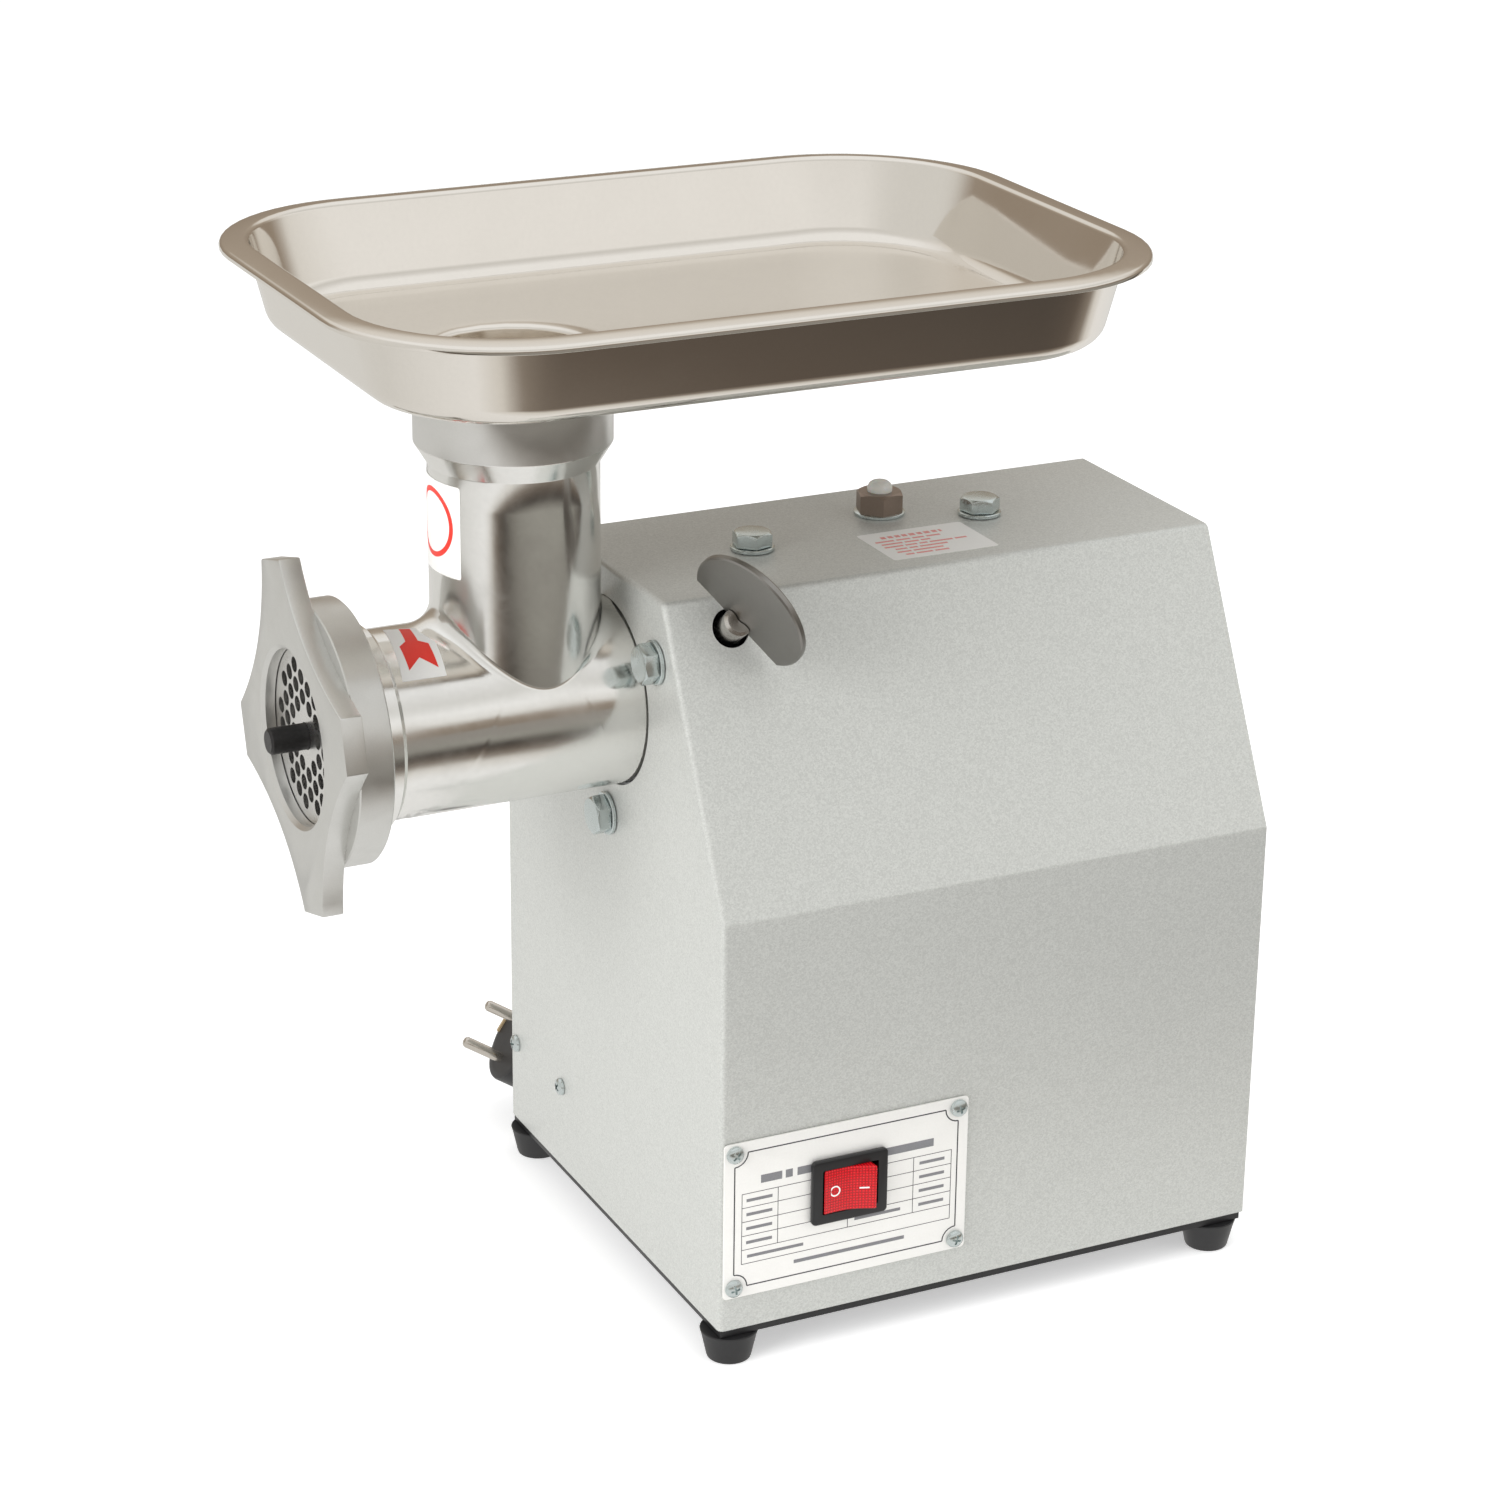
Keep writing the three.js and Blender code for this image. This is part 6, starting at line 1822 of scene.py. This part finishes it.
@dataclass
class Nameplate:
    """Satin plate on the side with a printed border and an empty table."""

    machine: Machine
    left: float = 1.0
    low: float = 30.2
    length: float = 105.0
    height: float = 66.0
    face: float = -105.1
    back: float = -104.3
    border: float = 4.4
    notch: float = 5.6
    switch_low: tuple[float, float] = (39.9, 57.5)
    switch_high: tuple[float, float] = (67.5, 79.9)
    rows: tuple[float, ...] = (14, 20, 26, 32, 38, 44)
    titles: tuple[tuple[float, float], ...] = ((15.5, 24.5), (26, 29), (31, 37.5), (43.5, 61), (64, 90))

    def build(self) -> None:
        """Cuts the plate round the switch and prints it."""
        corners = [(0, 0), (self.length, 0), (self.length, self.height), (0, self.height)]
        outline = [(self.left + x, self.low + z) for x, z in rounded(corners, 1.6, 4)]
        plate = prism("nameplate_satin", outline, self.face, self.back, Axis.Y)
        soften(plate, 0.15, 2, 40)
        (x0, z0), (x1, z1) = self.switch_low, self.switch_high
        carve(plate, block("hole", (x0, -110, z0), (x1, -100, z1)))
        self.machine.seat(plate, NAMEPLATE, "housing", "nameplate", slot="plate_face")
        self.machine.seat(joined("nameplate_lines", self.lines()), BLACK_INK, "housing", slot="plate_face")
        self.machine.seat(joined("nameplate_bars", self.bars()), GREY_INK, "housing", slot="plate_face")

    def stroke(self, x0: float, z0: float, x1: float, z1: float, width: float) -> bpy.types.Object:
        """Returns one printed line between two points of the plate."""
        start, end = Vector((self.left + x0, self.low + z0)), Vector((self.left + x1, self.low + z1))
        side = (end - start).normalized().orthogonal() * width / 2
        outline = [tuple(start + side), tuple(end + side), tuple(end - side), tuple(start - side)]
        return prism("stroke", outline, self.face - 0.04, self.face + 0.04, Axis.Y)

    def lines(self) -> list[bpy.types.Object]:
        """Returns the border with its hollow corners and the table's lines."""
        low, right, top, r = self.border, self.length - self.border, self.height - self.border, self.notch
        made = [
            self.stroke(low + r, low, right - r, low, 0.5), self.stroke(low + r, top, right - r, top, 0.5),
            self.stroke(low, low + r, low, top - r, 0.5), self.stroke(right, low + r, right, top - r, 0.5),
        ]
        for x, z, start in ((low, low, 0), (right, low, 90), (right, top, 180), (low, top, 270)):
            spots = [
                (
                    x + r * math.cos(math.radians(start + 15 * i)),
                    z + r * math.sin(math.radians(start + 15 * i)),
                )
                for i in range(7)
            ]
            made += [self.stroke(*a, *b, 0.5) for a, b in zip(spots, spots[1:])]
        made += [self.stroke(7.6, z, 98, z, 0.25) for z in self.rows]
        made += [self.stroke(7.6, self.rows[0], 7.6, self.rows[-1], 0.25), self.stroke(98, 14, 98, 44, 0.25)]
        made += [self.stroke(x, 20, x, 44, 0.25) for x in (22.9, 81.4)]
        made.append(self.stroke(53, 20, 53, 26, 0.25))
        return made

    def bars(self) -> list[bpy.types.Object]:
        """Returns plain bars where the plate has its headings and entries."""
        made = [self.stroke(a, 49, b, 49, 3.4) for a, b in self.titles]
        for z in self.rows[1:-1]:
            made.append(self.stroke(9.5, z + 3, 20.5, z + 3, 1.3))
            made.append(self.stroke(84, z + 3, 95, z + 3, 1.3))
        made.append(self.stroke(30, 10.2, 78, 10.2, 1.5))
        made.append(self.stroke(10, 17, 34, 17, 1.3))
        made.append(self.stroke(56, 23, 76, 23, 1.3))
        return made


@dataclass
class RockerSwitch:
    """Black switch frame with a red rocker that stands pressed at one side."""

    machine: Machine
    centre: tuple[float, float, float] = (53.7, -104.0, 68.7)
    half_length: float = 16.2
    half_height: float = 13.65
    face: float = -107.8
    seat_face: float = -105.35
    pocket: tuple[float, float] = (12.0, 9.45)
    body: tuple[float, float] = (13.6, 11.0)
    body_back: float = -84.0
    key_half_length: float = 10.6
    key_half_height: float = 9.2
    key_hollow: float = 4.2
    key_ends: float = 6.1
    tilt: float = 10.0

    def frame_outline(
        self, half_length: float, half_height: float, corner: float,
    ) -> list[tuple[float, float]]:
        """Returns a rounded rectangle about the switch's centre."""
        x, _, z = self.centre
        corners = [
            (x - half_length, z - half_height), (x + half_length, z - half_height),
            (x + half_length, z + half_height), (x - half_length, z + half_height),
        ]
        return rounded(corners, corner, 5)

    def build(self) -> None:
        """Builds the frame with its pocket and body, then the rocker with its marks."""
        piece = prism("switch_frame", self.frame_outline(self.half_length, self.half_height, 1.8), self.face,
                      self.seat_face, Axis.Y)
        soften(piece, 0.7, 3, 40)
        body = prism(
            "body", self.frame_outline(*self.body, 0.8), self.seat_face - 0.5, self.body_back, Axis.Y,
        )
        carve(piece, body, Carve.JOIN)
        pocket = prism(
            "pocket", self.frame_outline(*self.pocket, 0.7), self.face - 1, self.body_back - 6, Axis.Y,
        )
        carve(piece, pocket)
        self.machine.seat(piece, BLACK_PLASTIC, "housing", "switch_body", slot="plastic")
        self.rocker()

    def key_face(self, along: float) -> float:
        """Returns how far the rocker's hollow face stands out at a place along it."""
        return -self.key_hollow - (self.key_ends - self.key_hollow) * abs(along / self.key_half_length) ** 1.4

    def rocker(self) -> None:
        """Shapes the rocker with its hollow face and prints the two marks."""
        half = self.key_half_length
        front = [(x, self.key_face(x)) for x in [half * (i / 8 - 1) for i in range(17)]]
        outline = front + [(half * 0.72, 6.0), (-half * 0.72, 6.0)]
        key = prism("rocker_key", outline, -self.key_half_height, self.key_half_height, Axis.Z)
        soften(key, 0.5, 3, 40)
        place = Matrix.Translation(self.centre) @ spin(-self.tilt, "Z")
        key.data.transform(place)
        self.machine.seat(key, RED_ROCKER, "rocker", "switch_rocker", slot="red", smooth=50)
        ring = turned(
            "mark", [(1.7, -0.06), (2.25, -0.06), (2.25, 0.06), (1.7, 0.06)], Axis.Y, sides=40, closed=True,
        )
        ring.data.transform(shift(-6.0, self.key_face(6.0), 0) @ spin(10, "Z"))
        dash = block("mark", (-2.1, -0.06, -0.3), (2.1, 0.06, 0.3))
        dash.data.transform(shift(6.0, self.key_face(6.0), 0) @ spin(-10, "Z"))
        marks = joined("rocker_marks", [ring, dash])
        marks.data.transform(place)
        self.machine.seat(marks, WHITE_INK, "rocker", slot="red")


# ------------------------------------------------------------------------------------------ stickers


@dataclass
class Stickers:
    """Plain stickers on the top, the barrel and the throat, with shapes in place of any wording."""

    machine: Machine
    axis_height: float = 244.7
    throat_place: float = -38.4
    barrel: float = 36.5
    throat: float = 32.4
    film: float = 0.12

    def build(self) -> None:
        """Lays each sticker on its surface and prints it."""
        self.top()
        self.barrel_sticker()
        self.throat_sticker()

    def top(self) -> None:
        """Lays the flat sticker on the housing's top and prints its red bars."""
        outline = rounded([(102.6, -39.3), (148.5, -39.3), (148.5, -6.8), (102.6, -6.8)], 1.2, 3)
        sheet = prism("top_sticker", outline, 294.95, 295.0 + self.film, Axis.Z)
        self.machine.seat(sheet, PAPER, "housing", slot="paint")
        bars = []
        for y, tall, x, words in (
            (-12.4, 2.4, 110.0, (2.0, 2.0, 2.0, 2.0, 2.4, 2.0, 2.4, 2.0, 1.0)),
            (-17.2, 1.3, 105.5, (8, 6, 5, 6)),
            (-20.6, 1.3, 106.5, (9, 6, 4)), (-24.0, 1.3, 106.0, (8, 5, 3.5, 10, 5)),
            (-27.4, 1.3, 109.0, (5, 3.5, 12)),
            (-30.8, 1.3, 108.0, (6, 13)), (-34.2, 1.3, 110.0, (3.5, 7, 6)),
        ):
            for word in words:
                bars.append(block("bar", (x, y - tall, 295.05), (x + word, y, 295.04 + self.film + 0.03)))
                x += word + 1.1
        self.machine.seat(joined("top_sticker_bars", bars), PALE_RED_INK, "housing", slot="paint")

    def wrapped(
        self, name: str, outline: Profile, low: float, high: float,
        bend: Callable[[float, float, float], Vector]
    ) -> bpy.types.Object:
        """Cuts a flat shape into strips and bends it round a cylinder.

        Args:
            name: Name of the piece.
            outline: Corners: distance round the cylinder and along it.
            low: Where the film starts over the surface.
            high: Where it ends.
            bend: Takes round, along and out to a point.

        Returns:
            The bent piece.
        """
        piece = prism(name, outline, low, high, Axis.Z)
        bpy.ops.object.mode_set(mode="EDIT")
        rounds = [a for a, _ in outline]
        at = math.ceil(min(rounds) / 2) * 2 + 0.37
        while at < max(rounds):
            bpy.ops.mesh.select_all(action="SELECT")
            bpy.ops.mesh.bisect(plane_co=(at, 0, 0), plane_no=(1, 0, 0))
            at += 2.0
        bpy.ops.mesh.select_all(action="SELECT")
        work = edit_mesh(piece)
        for vert in work.verts:
            vert.co = bend(*vert.co)
        bmesh.update_edit_mesh(piece.data)
        bpy.ops.mesh.normals_make_consistent(inside=False)
        bpy.ops.object.mode_set(mode="OBJECT")
        return piece

    def round_barrel(self, around: float, along: float, out: float) -> Vector:
        """Bends a flat point round the barrel, from the top towards the switch side."""
        angle, radius = around / self.barrel, self.barrel + out
        return Vector((along, -radius * math.sin(angle), self.axis_height + radius * math.cos(angle)))

    def round_throat(self, around: float, along: float, out: float) -> Vector:
        """Bends a flat point round the throat, from its front towards the switch side."""
        angle, radius = around / self.throat, self.throat + out
        return Vector((self.throat_place - radius * math.cos(angle), -radius * math.sin(angle), along))

    def barrel_sticker(self) -> None:
        """Lays the white sticker on the barrel and prints a plain double arrow on it."""
        arc = self.barrel * math.pi / 180

        def flat(points: Profile) -> list[tuple[float, float]]:
            """Turns places along the barrel and degrees round it into lengths."""
            return [(turn * arc, x) for x, turn in points]

        sheet = self.wrapped("barrel_sticker", flat(
            [(-90.9, -3.4), (-75.1, 2.9), (-76.7, 45.2), (-94.0, 45.0)]), 0.02, self.film, self.round_barrel)
        self.machine.seat(sheet, PAPER, "head", slot="cast")
        arrow = self.wrapped("barrel_sticker_arrow", flat([
            (-85.4, -0.6), (-81.5, 1.5), (-81.9, 16.5), (-78.6, 20.2), (-78.7, 39.2), (-84.5, 30.4),
            (-90.1, 38.5),
            (-89.9, 19.7), (-86.6, 15.5),
        ]), 0.05, self.film + 0.05, self.round_barrel)
        self.machine.seat(arrow, RED_INK, "head", slot="cast")

    def throat_sticker(self) -> None:
        """Lays the white sticker on the throat and prints a plain ring on it."""
        centre, half = 322.0, 17.0
        sheet = self.wrapped("throat_sticker", rounded([
            (-half, 303.0), (half, 303.0), (half, 338.6),
            (-half, 338.6)], 1.0, 3), 0.02, self.film, self.round_throat)
        self.machine.seat(sheet, PAPER, "head", slot="cast")
        ring = turned("throat_sticker_ring", [
            (11.4, 0.05), (13.4, 0.05), (13.4, self.film + 0.05), (11.4, self.film + 0.05),
        ], Axis.Z, (0, centre, 0), 72, closed=True)
        take(ring)
        bpy.ops.object.mode_set(mode="EDIT")
        work = edit_mesh(ring)
        for vert in work.verts:
            vert.co = self.round_throat(*vert.co)
        bmesh.update_edit_mesh(ring.data)
        bpy.ops.mesh.normals_make_consistent(inside=False)
        bpy.ops.object.mode_set(mode="OBJECT")
        self.machine.seat(ring, RED_INK, "head", slot="cast")


# ------------------------------------------------------------------------------------------ inner parts


@dataclass
class InnerParts:
    """Parts behind the panels, which keep their CAD shapes and get their finishes."""

    machine: Machine

    def build(self) -> None:
        """Dresses each kind of part."""
        machine = self.machine
        machine.dress(CASE, ["gearbox_case", "gearbox_cover", "motor_end_bell"])
        machine.dress(BLACK_STEEL, ["motor_shell"])
        machine.dress(WINDING, ["motor_stator"])
        machine.dress(STEEL, [
            "output_bearing_front", "output_bearing_rear", "output_shaft", "output_gear", "layshaft_pinion",
            "layshaft_gear", "motor_rotor", "motor_pinion", "auger", "knife",
        ])
        machine.dress(BLACK_PLASTIC, ["motor_fan", "run_capacitor"])
        machine.dress(RUBBER, ["cord_gland"])


def main() -> None:
    """Builds the studio, the cord and then each sub-assembly of the machine."""
    logging.basicConfig(level=logging.INFO, format="%(name)s: %(message)s")
    machine = Machine()
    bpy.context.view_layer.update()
    Studio().build()
    PowerCord(machine).build(MainsPlug(machine).build())
    lock = LockScrew(machine)
    Housing(machine).build(lock.hole_tool())
    lock.build()
    GrindingHead(machine).build()
    RingNut(machine).build()
    FeedTray(machine).build()
    Fasteners(machine).build()
    Nameplate(machine).build()
    RockerSwitch(machine).build()
    Stickers(machine).build()
    InnerParts(machine).build()
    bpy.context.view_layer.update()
    LOG.info("%d new pieces", machine.count)


if __name__ == "__main__":
    main()
